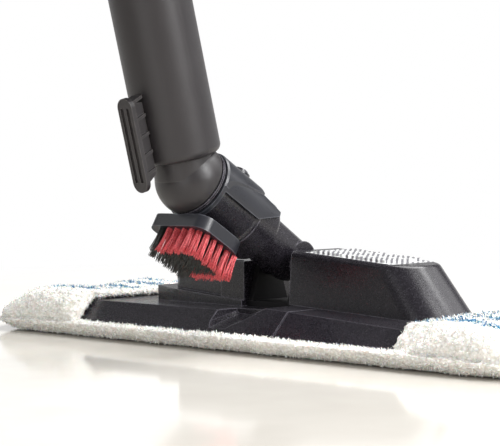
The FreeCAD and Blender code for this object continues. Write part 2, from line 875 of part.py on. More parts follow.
def make_carrier():
    """Hood with a raised tongue and two wings, and the bezel that holds the brush."""
    inner = "bulb_radius + soft_gap"
    shell = turned("hood_shell", [
        (inner, "wing_end"),
        ("hood_radius", "wing_end"),
        ("hood_radius", HOOD_TOP),
        (inner, HOOD_TOP),
    ])
    window = box("hood_window", "80", "80", "160", "-40", "-80 - hood_front", "0")
    end = prism("hood_ends", "YZ", [
        ("-hood_radius", "0"),
        ("3 * hood_radius", "0"),
        ("3 * hood_radius", "hood_end"),
        ("hood_back", "hood_end"),
        ("wing_back", "wing_end"),
        ("wing_low", "wing_end + 0.8"),
        ("-3", "hood_end + 2.5"),
        ("-hood_radius", "hood_end + 2.5"),
    ], "4 * hood_radius", middle=True)
    hood = cut("hood", shell, window, end)
    band = turned("hood_band", [
        (inner, f"{HOOD_TOP} - hood_band"),
        ("hood_radius", f"{HOOD_TOP} - hood_band"),
        ("hood_radius", HOOD_TOP),
        (inner, HOOD_TOP),
    ])
    skin = turned("tongue_skin", [
        (inner, "hood_end"),
        ("hood_radius + tongue_rise", "hood_end"),
        ("hood_radius + tongue_rise", f"{HOOD_TOP} - 1"),
        ("hood_radius", HOOD_TOP),
        (inner, HOOD_TOP),
    ])
    plan = prism("tongue_plan", "XZ", [
        ("-tongue_low_half", "hood_end"),
        ("tongue_low_half", "hood_end"),
        ("tongue_mid_half", "hood_end + 10"),
        ("tongue_top_half", HOOD_TOP),
        ("-tongue_top_half", HOOD_TOP),
        ("-tongue_mid_half", "hood_end + 10"),
    ], "2 * hood_radius", back=True)
    half = "brush_width / 2"
    low = "neck_length - brush_length"
    tray = new_body("bezel_body")
    frame = outline(tray, "bezel_outline", "XZ", [
        (f"-({half})", low),
        (half, low),
        (half, "neck_length"),
        (f"-({half})", "neck_length"),
    ], "brush_drop")
    padded(tray, frame, "bezel_height")
    middle = size("neck_length - brush_length / 2")
    body_round(tray, "bezel_back_corner", lambda e, m: along_y(e) and m.z > middle)
    body_round(tray, "bezel_front_corner", lambda e, m: along_y(e) and m.z < middle)
    clear = cylinder("bezel_clear", inner, "200", z="-50")
    clear_top = cylinder("bezel_clear_top", "ring_radius + 0.3", "60", z=HOOD_TOP)
    boss = cylinder("button_boss", "button_radius + 1.6", f"{inner} - 7", "0", "10", "button_place", "Y")
    seat = cylinder("button_seat", "button_radius + running_gap", "30", "0", "0", "button_place", "Y")
    solid = fuse("carrier_solid", hood, band, common("tongue", skin, plan), tray, boss)
    node(cut("carrier_cut", solid, clear, clear_top, seat), "brush_carrier", NECK)


def along_y(edge):
    """Whether an edge runs along Y."""
    ends = edge.Vertexes
    if len(ends) < 2:
        return False
    run = ends[1].Point.sub(ends[0].Point)
    return abs(run.y) > 0.9 * run.Length and run.Length > 1e-6


def make_tufts():
    """Bristle tufts: red round the outside, black inside."""
    across = int(size("(brush_width - 8) / tuft_pitch")) + 1
    along = int(size("(brush_length - 6) / tuft_pitch")) + 1
    red = []
    black = []
    for i in range(across):
        for j in range(along):
            rim = i in (0, across - 1) or j in (0, along - 1)
            rounded_off = i in (0, across - 1) and j == along - 1
            if rounded_off:
                continue
            tuft = cylinder(
                f"tuft_{i}_{j}", "tuft_radius", "tuft_length - running_gap",
                f"({i} - {(across - 1) / 2}) * tuft_pitch",
                "-brush_drop - bezel_height - tuft_length",
                f"neck_length - brush_length / 2 + ({j} - {(along - 1) / 2}) * tuft_pitch", "Y",
            )
            (red if rim and i > 1 else black).append(tuft)
    for name, tufts in (("bristles_red", red), ("bristles_black", black)):
        group = doc.addObject("Part::Compound", name + "_group")
        group.Links = tufts
        node(group, name, NECK)


def make_neck_button():
    """Spring button on the hood that frees the brush carrier."""
    bar = cylinder(
        "button_bar", "button_radius", "2.4", "0", "bulb_radius + button_travel + soft_gap",
        "button_place", "Y",
    )
    node(bar, "carrier_button", NECK)


# ---------------------------------------------------------------- handle

def make_collar():
    """Elbow dome on the neck's axis running into the tube's spigot."""
    dome = ball("collar_ball", "ring_radius - 0.6", z="-elbow_reach + 1")
    spigot = cylinder("collar_spigot", "collar_radius", "45", turn=-BEND)
    below = box("collar_trim", "80", "80", "40", "-40", "-40", "-elbow_reach - 40")
    bore = cylinder("collar_bore", "neck_bore", "30", z="-20")
    upper = cylinder("collar_upper_bore", "neck_bore - 0.5", "60", turn=-BEND)
    solid = cut("collar_bored", fuse("collar_solid", dome, spigot), below)
    lower_cut = cut("collar_low_cut", solid, bore)
    node(cut("collar_cut", lower_cut, upper), "elbow_collar", ELBOW)


def make_lower_tube():
    """Lower tube of the handle with a chamfered rim round the elbow."""
    body = turned("tube_body", [
        ("collar_radius + running_gap", "tube_start"),
        ("tube_radius", "tube_start"),
        ("tube_radius", "tube_top"),
        ("tube_radius - tube_wall", "tube_top"),
        ("tube_radius - tube_wall", "tube_start + 3 * tube_chamfer"),
        ("collar_radius + running_gap", "tube_start + 2.5 * tube_chamfer"),
    ])
    at_start = level_at(size("tube_start"))
    outside = size("tube_radius") - 0.1
    body_round(body, "tube_chamfer", lambda e, m: at_start(e, m) and math.hypot(m.x, m.y) > outside)
    clear = ball(
        "tube_dome_clear", "ring_radius - 0.3", "0",
        f"(elbow_reach - 1) * sin({BEND})", f"-(elbow_reach - 1) * cos({BEND})",
    )
    node(cut("tube_cut", body, clear), "lower_tube", HANDLE)


def make_lower_hook():
    """Fixed cord hook: grooved plate on a web with cross ribs."""
    body = new_body("hook_body")
    face = "tube_radius + hook_stand_off"
    web = outline(body, "hook_web", "YZ", [
        ("-tube_radius - 0.02", "hook_start + 7"),
        (f"-({face})", "hook_start + 3"),
        (f"-({face})", "hook_start + hook_plate_length - 3"),
        ("-tube_radius - 0.02", "hook_start + hook_plate_length - 4"),
    ])
    padded(body, web, "4", middle=True)
    plate = slot_sketch(body, "hook_plate", "hook_plate_width", "hook_plate_length", "hook_start", face)
    padded(body, plate, "hook_plate_thick")
    for side in (-1, 1):
        groove = rect_on_face(
            body, f"hook_groove_{side + 1}", f"{side} * hook_plate_width / 5", "hook_plate_width / 5",
            "hook_start + 5", "hook_start + hook_plate_length - 5", f"{face} + hook_plate_thick",
        )
        pocketed(body, groove, "hook_groove_depth")
    for i in range(int(size("hook_rib_count"))):
        rib = outline(body, f"hook_rib_{i}", "YZ", [
            ("-tube_radius - 0.6", f"hook_start + 9.2 + {i} * 9"),
            (f"-({face}) - 0.5", f"hook_start + 7.2 + {i} * 9"),
            (f"-({face}) - 0.5", f"hook_start + 8.7 + {i} * 9"),
            ("-tube_radius - 0.6", f"hook_start + 10.7 + {i} * 9"),
        ])
        padded(body, rib, "hook_plate_width - 3", middle=True)
    node(body, "lower_cord_hook", HANDLE)


def rect_on_face(body, name, x, width, z0, z1, offset):
    """Upright rectangle on an XZ plane, about a middle X, between two heights."""
    return outline(body, name, "XZ", [
        (f"{x} - {width} / 2", z0),
        (f"{x} + {width} / 2", z0),
        (f"{x} + {width} / 2", z1),
        (f"{x} - {width} / 2", z1),
    ], offset)


def slot_sketch(body, name, width, length, start, offset):
    """Upright stadium on the XZ plane, from start upwards."""
    sketch = sketch_on(body, name, "XZ", offset)
    radius = size(f"{width} / 2")
    low = Vector(0, size(f"{start} + {width} / 2"), 0)
    high = Vector(0, size(f"{start} + {length} - {width} / 2"), 0)
    axis = Vector(0, 0, 1)
    top = Part.ArcOfCircle(Part.Circle(high, axis, radius), 0, math.pi)
    bottom = Part.ArcOfCircle(Part.Circle(low, axis, radius), math.pi, 2 * math.pi)
    sketch.addGeometry(top, False)
    sketch.addGeometry(bottom, False)
    sketch.addGeometry(Part.LineSegment(top.EndPoint, bottom.StartPoint), False)
    sketch.addGeometry(Part.LineSegment(bottom.EndPoint, top.StartPoint), False)
    sketch.addConstraint(Sketcher.Constraint("Tangent", 0, 2, 2, 1))
    sketch.addConstraint(Sketcher.Constraint("Tangent", 2, 2, 1, 1))
    sketch.addConstraint(Sketcher.Constraint("Tangent", 1, 2, 3, 1))
    sketch.addConstraint(Sketcher.Constraint("Tangent", 3, 2, 0, 1))
    pin_point(sketch, 0, 3, "0", f"{start} + {length} - {width} / 2", high)
    pin_point(sketch, 1, 3, "0", f"{start} + {width} / 2", low)
    index = sketch.addConstraint(Sketcher.Constraint("Radius", 0, radius))
    sketch.setExpression(f"Constraints[{index}]", bound(f"{width} / 2"))
    return sketch


# ---------------------------------------------------------------- handle unit

def housing_loft(name, inset):
    """Outer form of the handle unit, drawn in by an inset."""
    body = new_body(name)
    pole = "2 * (pole_radius + sleeve_wall + housing_wall)"
    tube = "2 * (tube_radius + housing_wall)"
    sections = [
        (tube, tube, f"{tube} / 2 - 0.5", "housing_low"),
        ("housing_width * 0.72", "housing_depth * 0.72", "housing_width * 0.34", "housing_low + 38"),
        ("housing_width", "housing_depth", "housing_width * 0.44", "housing_full_low"),
        ("housing_width", "housing_depth", "housing_width * 0.44", "housing_full_top"),
        (pole, pole, f"{pole} / 2 - 0.5", "housing_top"),
    ]
    sketches = []
    for i, (width, depth, corner, height) in enumerate(sections):
        sketches.append(corner_sketch(
            body, f"{name}_{i}", f"{width} - 2 * {inset}", f"{depth} - 2 * {inset}",
            f"{corner} - {inset}", height,
        ))
    loft = body.newObject("PartDesign::AdditiveLoft", name + "_loft")
    loft.Profile = sketches[0]
    loft.Sections = sketches[1:]
    loft.Ruled = True
    body.Tip = loft
    return body


def tank_room(name, grow):
    """Room in front of the seat wall that the tank fills, grown on every side."""
    return box(
        name, "housing_width * 2", "housing_depth", f"tank_top - tank_low + 2 * ({grow})",
        "-housing_width", f"tank_back - ({grow})", f"tank_low - ({grow})",
    )


def make_housing():
    """Front and rear shells of the handle unit; the front one seats the tank."""
    rear_half = box("rear_half", "400", "200", "600", "-200", "-200 - grip_seam", "200")
    front_half = box("front_half", "400", "200", "600", "-200", "grip_seam", "200")
    rear_shell = cut(
        "rear_hollow", housing_loft("rear_form", "0"), housing_loft("rear_inside", "housing_wall"),
    )
    node(common("rear_cut", rear_shell, rear_half), "housing_rear", HANDLE)
    front_shell = cut(
        "front_hollow", housing_loft("front_form", "0"), housing_loft("front_inside", "housing_wall"),
    )
    liner = common(
        "seat_liner", housing_loft("liner_form", "housing_wall / 2"),
        tank_room("seat_room", "housing_wall"),
    )
    lined = fuse("front_lined", common("front_cut", front_shell, front_half), liner)
    holes = [
        tank_room("tank_room_cut", "0"),
        cylinder("valve_hole", "valve_radius + running_gap", "60", "0", "-10", "valve_place", "Y"),
        cylinder("dial_hole", "dial_radius + side_gap", "90", "0", "10", "dial_place", "Y"),
        box("latch_hole", "17", "60", "8", "-8.5", "20", "latch_place - 4"),
    ]
    node(cut("front_final", lined, *holes), "housing_front", HANDLE)


CAP_PLACE = "housing_depth / 3.4"
CAP_SEAT = "tank_top - tank_gap - cap_depth"


def make_tank():
    """Water tank that completes the housing's front, with nozzle and filler recess."""
    outer = common("tank_outer", housing_loft("tank_form", "0"), tank_room("tank_block", "-tank_gap"))
    inner = common(
        "tank_inner", housing_loft("tank_inside", "housing_wall"),
        tank_room("tank_hollow", "-tank_gap - housing_wall"),
    )
    nozzle = cylinder(
        "tank_nozzle", "valve_radius", "tank_gap + 2 * housing_wall", "0",
        "tank_back - housing_wall", "valve_place", "Y",
    )
    collar = cylinder("filler_wall", "cap_radius + 2", "cap_depth + 2", "0", CAP_PLACE, f"{CAP_SEAT} - 2")
    shell = fuse("tank_shell", cut("tank_hollowed", outer, inner), nozzle, collar)
    well = cylinder("filler_well", "cap_radius + side_gap", "cap_depth + 1", "0", CAP_PLACE, CAP_SEAT)
    throat = cylinder("filler_throat", "cap_radius - 4", "cap_depth + 10", "0", CAP_PLACE, f"{CAP_SEAT} - 5")
    outlet = cylinder("nozzle_bore", "valve_radius / 2", "20", "0", "tank_back - 10", "valve_place", "Y")
    node(cut("tank_final", shell, well, throat, outlet), "water_tank", HANDLE)
    cap = cylinder("cap_disc", "cap_radius", "cap_depth - 3", "0", CAP_PLACE, f"{CAP_SEAT} + 0.3")
    plug = cylinder("cap_plug", "cap_radius - 4 - running_gap", "6", "0", CAP_PLACE, f"{CAP_SEAT} - 4")
    grip = box(
        "cap_grip", "2 * cap_radius - 8", "3", "2", "-cap_radius + 4", f"{CAP_PLACE} - 1.5",
        "tank_top - tank_gap - 3",
    )
    node(fuse("cap_solid", cap, plug, grip), "tank_cap", HANDLE)


def make_inside():
    """Chassis plate, boiler, pump and pipes inside the handle unit."""
    plate = common(
        "chassis_plate", housing_loft("chassis_form", "(housing_wall + soft_gap)"),
        box(
            "chassis_block", "200", "chassis_thick", "chassis_top - chassis_low", "-100",
            "-chassis_back", "chassis_low",
        ),
    )
    hole = cylinder("chassis_hole", "valve_radius + 1", "40", "0", "-20", "valve_place", "Y")
    node(cut("chassis_cut", plate, hole), "chassis", HANDLE)
    centre = "-chassis_back - boiler_radius - running_gap"
    tankwall = cylinder("boiler_wall", "boiler_radius", "boiler_length", "0", centre, "boiler_low")
    arm = box(
        "boiler_arm", "14", f"10 - ({centre})", "outlet_drop + 2", "-7", centre,
        "boiler_low - outlet_drop",
    )
    socket = cylinder(
        "boiler_socket", "pipe_radius + running_gap", "outlet_drop - 3", "0", "0",
        "boiler_low - outlet_drop - 1",
    )
    node(cut("boiler_cut", fuse("boiler_solid", tankwall, arm), socket), "boiler", HANDLE)
    pump = box(
        "pump_block", "pump_width", "pump_width", "pump_length", "-pump_width / 2",
        "-chassis_back - pump_width - running_gap", "pump_low",
    )
    coil = cylinder(
        "pump_coil", "pump_width / 2.6", "14", "0", "-chassis_back - pump_width / 2",
        "pump_low + pump_length",
    )
    node(fuse("pump_solid", pump, coil), "pump", HANDLE)
    feed = cylinder(
        "feed_tube", "2.5", "pump_low - boiler_low - boiler_length", "0", centre,
        "boiler_low + boiler_length",
    )
    node(feed, "boiler_feed", HANDLE)
    inlet = cylinder(
        "inlet_tube", "valve_radius - 1", "tank_back - housing_wall + chassis_back - 0.2", "0",
        "-chassis_back", "valve_place", "Y",
    )
    node(inlet, "pump_inlet", HANDLE)
    pipe = cut(
        "pipe_cut",
        cylinder(
            "pipe_outer", "pipe_radius", "boiler_low - outlet_drop + outlet_drop / 2 - 12", "0",
            "0", "12",
        ),
        cylinder("pipe_bore", "pipe_radius - 1.5", "boiler_low", "0", "0", "0"),
    )
    node(pipe, "steam_pipe", HANDLE)


def make_controls():
    """Steam dial and tank latch on the front shell."""
    knob = cylinder("dial_knob", "dial_radius", "13", "0", "housing_depth / 2 - 16", "dial_place", "Y")
    shaft = cylinder(
        "dial_shaft", "3", "housing_depth / 2 - 16 + chassis_back - chassis_thick - 0.2", "0",
        "-chassis_back + chassis_thick + 0.2", "dial_place", "Y",
    )
    node(fuse("dial_solid", knob, shaft), "steam_dial", HANDLE)
    latch = box("latch_bar", "16", "14", "7", "-8", "housing_depth / 2 - 13", "latch_place - 3.5")
    node(latch, "tank_latch", HANDLE)


def make_pole():
    """Upper pole, its sleeve in the housing's top, and the swinging cord hook."""
    pole = turned("pole_body", [
        ("pole_radius - pole_wall", "housing_top - 31"),
        ("pole_radius", "housing_top - 31"),
        ("pole_radius", "pole_top"),
        ("pole_radius - pole_wall", "pole_top"),
    ])
    node(pole, "upper_pole", HANDLE)
    sleeve = turned("sleeve_ring", [
        ("pole_radius + running_gap", "housing_top - 20"),
        ("pole_radius + sleeve_wall - running_gap", "housing_top - 20"),
        ("pole_radius + sleeve_wall - running_gap", "housing_top + 0.2"),
        ("pole_radius + sleeve_wall + housing_wall", "housing_top + 0.2"),
        ("pole_radius + sleeve_wall", "housing_top + 9"),
        ("pole_radius + running_gap", "housing_top + 9"),
    ])
    node(sleeve, "pole_sleeve", HANDLE)
    ring = turned("mount_ring", [
        ("pole_radius + running_gap", "upper_hook_place - 13"),
        ("pole_radius + sleeve_wall", "upper_hook_place - 13"),
        ("pole_radius + sleeve_wall", "upper_hook_place + 13"),
        ("pole_radius + running_gap", "upper_hook_place + 13"),
    ])
    boss = cylinder("mount_boss", "hook_stem + 2.5", "11", "0", "-pole_radius - 12", "upper_hook_place", "Y")
    hollow = cylinder("mount_hollow", "pole_radius + running_gap", "60", "0", "0", "upper_hook_place - 30")
    seat = cylinder(
        "mount_seat", "hook_stem + running_gap", "9", "0", "-pole_radius - 13", "upper_hook_place",
        "Y",
    )
    node(cut("mount_cut", fuse("mount_solid", ring, boss), hollow, seat), "hook_mount", HANDLE)
    body = new_body("swing_hook_body")
    stem = circle_on(body, "swing_stem", "XZ", "hook_stem", "0", "upper_hook_place", "pole_radius + 4.5")
    padded(body, stem, "hook_stand_off + 5")
    plate = slot_sketch(
        body, "swing_plate", "hook_plate_width", "hook_plate_length",
        "upper_hook_place - hook_plate_width / 2", "pole_radius + hook_stand_off + 8",
    )
    padded(body, plate, "hook_plate_thick")
    node(body, "upper_cord_hook", HANDLE)


GRIP_OUTLINE = [
    ("-17", "grip_low"), ("17", "grip_low"), ("21", "grip_low + 50"), ("50", "grip_low + 100"),
    ("57", "grip_low + 140"), ("50", "grip_top - 22"), ("32", "grip_top - 4"), ("-6", "grip_top"),
    ("-24", "grip_top - 12"), ("-30", "grip_top - 40"), ("-24", "grip_low + 60"),
]
GRIP_HOLE = [
    ("-2", "grip_low + 72"), ("8", "grip_low + 66"), ("34", "grip_low + 108"), ("39", "grip_low + 140"),
    ("34", "grip_top - 30"), ("20", "grip_top - 20"), ("-2", "grip_top - 22"), ("-8", "grip_top - 36"),
]
TRIGGER_TOP = "grip_top - trigger_drop"
TRIGGER_LINE = [
    ("-11", f"{TRIGGER_TOP} - 50"), ("4", f"{TRIGGER_TOP} - 46"), ("1", f"{TRIGGER_TOP} - 24"),
    ("1", f"{TRIGGER_TOP} - 8"), ("-5", TRIGGER_TOP), ("-14", f"{TRIGGER_TOP} - 2"),
]


def make_grip():
    """Two grip shells round a finger loop, split on the middle plane."""
    for side, start in (("left", "-grip_width / 2"), ("right", "grip_seam / 2")):
        half = prism(f"grip_{side}_body", "YZ", GRIP_OUTLINE, "grip_width / 2 - grip_seam / 2", start)
        hole = outline(half, f"grip_{side}_hole", "YZ", GRIP_HOLE, "-grip_width")
        pocketed(half, hole, "2 * grip_width", back=True)
        edge_x = size("grip_width / 2") * (-1 if side == "left" else 1)
        body_round(half, "5", lambda e, m: abs(m.x - edge_x) < 1e-3)
        bar = cylinder(f"grip_{side}_socket", "pole_radius + running_gap", "60", "0", "0", "pole_top - 60")
        well = box(
            f"grip_{side}_well", "trigger_width + 2 * side_gap", "24", "56",
            "-trigger_width / 2 - side_gap", "-19", f"{TRIGGER_TOP} - 54",
        )
        pin = cylinder(f"grip_{side}_pin", "1.55", "24", "-12", "-8.5", f"{TRIGGER_TOP} - 6", "X")
        gland = cylinder(
            f"grip_{side}_gland", "gland_radius + running_gap", "20", "0", "-30", "gland_place",
            "Y",
        )
        node(cut(f"grip_{side}_cut", half, bar, well, pin, gland), f"grip_{side}", HANDLE)


def make_trigger():
    """Trigger in the loop, its pin, its switch, and the cord's gland."""
    body = prism("trigger_body", "YZ", TRIGGER_LINE, "trigger_width", middle=True)
    hole = circle_on(body, "trigger_hole", "YZ", "1.5 + running_gap", "-8.5", f"{TRIGGER_TOP} - 6")
    pocketed(body, hole, "4 * trigger_width", middle=True)
    node(body, "trigger", HANDLE)
    node(
        cylinder("trigger_bar", "1.5", "23.4", "-11.7", "-8.5", f"{TRIGGER_TOP} - 6", "X"),
        "trigger_pin", HANDLE,
    )
    gland = turned(
        "gland_body",
        [
            ("3.5", "0"), ("gland_radius", "0"), ("gland_radius", "14"),
            ("gland_radius - 2", "22"), ("3.5", "22"),
        ],
    )
    turn = Rotation(AXES["X"], 90)
    gland.Placement = Placement(Vector(0, size("-pole_radius - 1"), size("gland_place")), turn)
    node(gland, "cord_gland", HANDLE)


make_base_plate()
make_steam_plate()
make_strips()
make_pad()
make_tower()
make_block()
make_tread()
make_bracket()
make_pin()
make_neck_tube()
make_sleeve()
make_carrier()
make_tufts()
make_neck_button()
make_collar()
make_lower_tube()
make_lower_hook()
make_housing()
make_tank()
make_inside()
make_controls()
make_pole()
make_grip()
make_trigger()


def write_parts():
    """Checks every object, then writes each node's shape."""
    doc.recompute()
    for item in doc.Objects:
        if "Invalid" in item.State or "Error" in item.State:
            raise RuntimeError(f"{item.Name} ({item.Label}) failed: {item.State}")
    for item in NODES:
        if item.Shape.isNull() or not item.Shape.isValid():
            raise RuntimeError(f"{item.Label} has no valid shape")
    for item in NODES:
        item.Shape.exportStep(f"parts/{item.Label}.step")
        print(item.Label, len(item.Shape.Solids), round(item.Shape.Volume, 1))


write_parts()
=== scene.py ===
"""Steam mop dressed for the eye: moulded plastics, microfibre pad, brush filaments and studio.

Every length in a field named ..._mm is in millimetres; meshes and positions are in metres.
"""

import json
import logging
import math
import random
from dataclasses import dataclass
from enum import Enum
from typing import Any, Callable

import bpy
from mathutils import Matrix, Quaternion, Vector, noise

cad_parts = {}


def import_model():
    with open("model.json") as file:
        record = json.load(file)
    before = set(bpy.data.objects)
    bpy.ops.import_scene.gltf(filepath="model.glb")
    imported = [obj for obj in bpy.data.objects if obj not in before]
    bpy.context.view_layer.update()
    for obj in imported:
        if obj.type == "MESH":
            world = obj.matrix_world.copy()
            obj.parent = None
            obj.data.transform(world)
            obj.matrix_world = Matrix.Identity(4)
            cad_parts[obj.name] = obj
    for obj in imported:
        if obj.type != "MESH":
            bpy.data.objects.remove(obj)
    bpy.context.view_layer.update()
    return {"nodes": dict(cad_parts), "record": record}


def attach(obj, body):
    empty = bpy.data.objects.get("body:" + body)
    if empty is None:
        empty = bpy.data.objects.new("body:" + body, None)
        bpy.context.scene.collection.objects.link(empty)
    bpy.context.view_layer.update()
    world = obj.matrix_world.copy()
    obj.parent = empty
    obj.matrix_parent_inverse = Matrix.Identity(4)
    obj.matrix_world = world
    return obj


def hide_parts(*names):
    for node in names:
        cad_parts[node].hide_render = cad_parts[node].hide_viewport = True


MM = 0.001
SQUARE_CM = 10000  # in a square metre
LOWEST = 0.0001  # metres above the floor that every point of the pad keeps
LOG = logging.getLogger("steam_mop")

Point = tuple[float, float, float]
Tree = bpy.types.NodeTree
Socket = bpy.types.NodeSocket


# ------------------------------------------------------------------ colour and nodes

def linear(hex_colour: str) -> tuple[float, float, float, float]:
    """Turns an sRGB hex colour into linear RGBA by the sRGB transfer curve.

    Args:
        hex_colour: Six hex digits after a #.

    Returns:
        Red, green, blue and alpha for a shader socket.
    """
    parts = [int(hex_colour[i:i + 2], 16) / 255 for i in (1, 3, 5)]
    red, green, blue = (p / 12.92 if p <= 0.04045 else ((p + 0.055) / 1.055) ** 2.4 for p in parts)
    return red, green, blue, 1.0


def add_node(tree: Tree, kind: str, settings: dict[str, Any] | None = None,
             inputs: dict[str | int, Any] | None = None) -> bpy.types.Node:
    """Adds a node with its settings, and links or sets its inputs.

    Args:
        tree: Node tree to add to.
        kind: Node type without its ShaderNode prefix.
        settings: Node properties by name.
        inputs: Input sockets by name or number, each with a value or an output socket to link.

    Returns:
        The new node.
    """
    node = tree.nodes.new(f"ShaderNode{kind}")
    for name, value in (settings or {}).items():
        setattr(node, name, value)
    for name, value in (inputs or {}).items():
        if isinstance(value, Socket):
            tree.links.new(value, node.inputs[name])
        else:
            node.inputs[name].default_value = value
    return node


def new_tree(name: str) -> tuple[bpy.types.Material, Tree]:
    """Makes an empty node material and returns it with its tree."""
    material = bpy.data.materials.new(name)
    material.use_nodes = True
    material.node_tree.nodes.clear()
    return material, material.node_tree


def principled(tree: Tree, inputs: dict[str, Any]) -> None:
    """Ends a tree in a principled surface with these inputs."""
    shader = add_node(tree, "BsdfPrincipled", inputs=inputs)
    add_node(tree, "OutputMaterial", inputs={"Surface": shader.outputs[0]})


def per_metre(size_mm: float) -> float:
    """Texture scale at which one cell of a pattern is size_mm across."""
    return 1 / (size_mm * MM)


def own_place(tree: Tree) -> Socket:
    """Adds the place on the piece in its own coordinates."""
    return add_node(tree, "TexCoord").outputs["Object"]


def speckle(tree: Tree, size_mm: float, detail: float = 2.0, where: Socket | None = None) -> Socket:
    """Adds even noise whose cells are size_mm across and returns its value."""
    return add_node(tree, "TexNoise", inputs={
        "Vector": where or own_place(tree), "Scale": per_metre(size_mm), "Detail": detail,
        "Roughness": 0.6,
    }).outputs["Fac"]


def spread(tree: Tree, value: Socket, low: float, high: float, start: float = 0.3,
           end: float = 0.7) -> Socket:
    """Maps a value from start..end to low..high and returns the result."""
    return add_node(tree, "MapRange", inputs={
        "Value": value, "From Min": start, "From Max": end, "To Min": low, "To Max": high,
    }).outputs["Result"]


def eased(tree: Tree, value: Socket, start: float, end: float, low: float = 0.0,
          high: float = 1.0) -> Socket:
    """Like spread, but leaving and reaching the ends softly."""
    return add_node(tree, "MapRange", {"interpolation_type": "SMOOTHSTEP"}, {
        "Value": value, "From Min": start, "From Max": end, "To Min": low, "To Max": high,
    }).outputs["Result"]


def math_node(tree: Tree, operation: str, *values: Any) -> Socket:
    """Adds a math node over values or sockets and returns its result."""
    return add_node(tree, "Math", {"operation": operation}, dict(enumerate(values))).outputs[0]


def blend_colour(tree: Tree, share: Socket, first: Any, second: Any) -> Socket:
    """Mixes two colours by share and returns the colour."""
    mix = add_node(tree, "Mix", {"data_type": "RGBA"}, {0: share, 6: first, 7: second})
    return mix.outputs[2]


def blend_level(tree: Tree, share: Socket, first: Any, second: Any) -> Socket:
    """Mixes two values by share and returns the value."""
    return add_node(tree, "Mix", {"data_type": "FLOAT"}, {0: share, 2: first, 3: second}).outputs[0]


def bumped(tree: Tree, height: Socket, depth_mm: float, strength: float = 1.0,
           sunken: bool = False) -> Socket:
    """Adds relief of depth_mm out of a height value and returns its normal."""
    return add_node(tree, "Bump", {"invert": sunken}, {
        "Height": height, "Distance": depth_mm * MM, "Strength": strength,
    }).outputs[0]


def edge_wear_and_highlight(tree: Tree, radius_mm: float) -> Socket:
    """Adds a mask that is 1 on sharp edges within radius_mm and 0 on smooth faces."""
    turned_away, in_line = 0.88, 0.998
    rounded = add_node(tree, "Bevel", {"samples": 6}, {"Radius": radius_mm * MM})
    facing = add_node(tree, "NewGeometry").outputs["Normal"]
    match = add_node(tree, "VectorMath", {"operation": "DOT_PRODUCT"},
                     {0: rounded.outputs["Normal"], 1: facing})
    return spread(tree, match.outputs["Value"], 1.0, 0.0, turned_away, in_line)


# ------------------------------------------------------------------ finishes

@dataclass(frozen=True)
class MouldedPlastic:
    """Thermoplastic moulded against spark-eroded steel: satin with a fine even grain, sparse painted glints
    on the grain, and pale edges that are part wear, part painted highlight.
    """

    name: str
    colour: str
    dusty: str
    roughness: float
    grain_mm: float
    grain_depth_mm: float
    # colour of the pale edges and painted glints: part wear, part painted highlight
    edge: str
    specular: float = 0.5
    painted_glint: float = 0.0
    flow_mm: float = 35.0
    edge_mm: float = 1.0
    patch_mm: float = 6.0

    def build(self) -> bpy.types.Material:
        """Builds the material."""
        material, tree = new_tree(self.name)
        grain = speckle(tree, self.grain_mm)
        flow = speckle(tree, self.flow_mm, 3.0)
        tone = blend_colour(tree, spread(tree, flow, 0.0, 1.0), linear(self.colour), linear(self.dusty))
        fine = blend_colour(tree, spread(tree, grain, 0.0, 0.35), tone, linear(self.dusty))
        # pale edges: part rubbed wear, part painted highlight along the rims of the moulding
        patchiness = spread(tree, speckle(tree, self.patch_mm), 0.35, 0.95)
        wear_and_highlight = math_node(tree, "MULTIPLY", edge_wear_and_highlight(tree, self.edge_mm), patchiness)
        # painted highlight: sparse pale specks of the edge colour stand in for glints of light off the grain
        painted_glints = spread(tree, speckle(tree, self.grain_mm * 0.8, 0.0), 0.0, self.painted_glint, 0.58, 0.70)
        with_painted_glints = blend_colour(tree, painted_glints, fine, linear(self.edge))
        sheen = spread(tree, flow, self.roughness - 0.03, self.roughness + 0.03)
        principled(tree, {
            "Base Color": blend_colour(tree, wear_and_highlight, with_painted_glints, linear(self.edge)),
            "Roughness": math_node(tree, "ADD", spread(tree, grain, -0.04, 0.05), sheen),
            "Normal": bumped(tree, grain, self.grain_depth_mm, 0.8),
            "IOR": 1.52, "Specular IOR Level": self.specular,
        })
        return material


@dataclass(frozen=True)
class PrintedTread:
    """Foot tread printed silver grey between dark moulded dashes that slant across it."""

    name: str = "polypropylene_tread_silver_print"
    silver: str = "#d6d7d6"
    grime: str = "#8f9093"
    dark: str = "#77767b"
    pitch_mm: float = 2.6
    dash_mm: float = 18.0
    slant_deg: float = -37.0
    grime_mm: float = 0.7
    relief_mm: float = 0.3

    def build(self) -> bpy.types.Material:
        """Builds the material."""
        material, tree = new_tree(self.name)
        turned = add_node(tree, "Mapping", inputs={
            "Vector": own_place(tree), "Rotation": (0, 0, math.radians(self.slant_deg))}).outputs[0]
        line = spread(tree, self.bands(tree, turned, "X", self.pitch_mm), 0.0, 1.0, 0.45, 0.7)
        gap = spread(tree, self.bands(tree, turned, "Y", self.dash_mm), 0.0, 1.0, 0.04, 0.1)
        dash = math_node(tree, "MULTIPLY", line, gap)
        grime = speckle(tree, self.grime_mm)
        pale = blend_colour(tree, spread(tree, grime, 0.0, 0.25), linear(self.silver), linear(self.grime))
        principled(tree, {
            "Base Color": blend_colour(tree, dash, pale, linear(self.dark)),
            "Roughness": spread(tree, grime, 0.38, 0.5),
            "Normal": bumped(tree, dash, self.relief_mm, sunken=True), "IOR": 1.5,
        })
        return material

    @staticmethod
    def bands(tree: Tree, where: Socket, across: str, pitch_mm: float) -> Socket:
        """Adds even bands across one axis and returns their value."""
        return add_node(
            tree, "TexWave", {"wave_type": "BANDS", "bands_direction": across, "wave_profile": "SIN"},
            {"Vector": where, "Scale": per_metre(pitch_mm) / math.tau * 2}).outputs["Fac"]


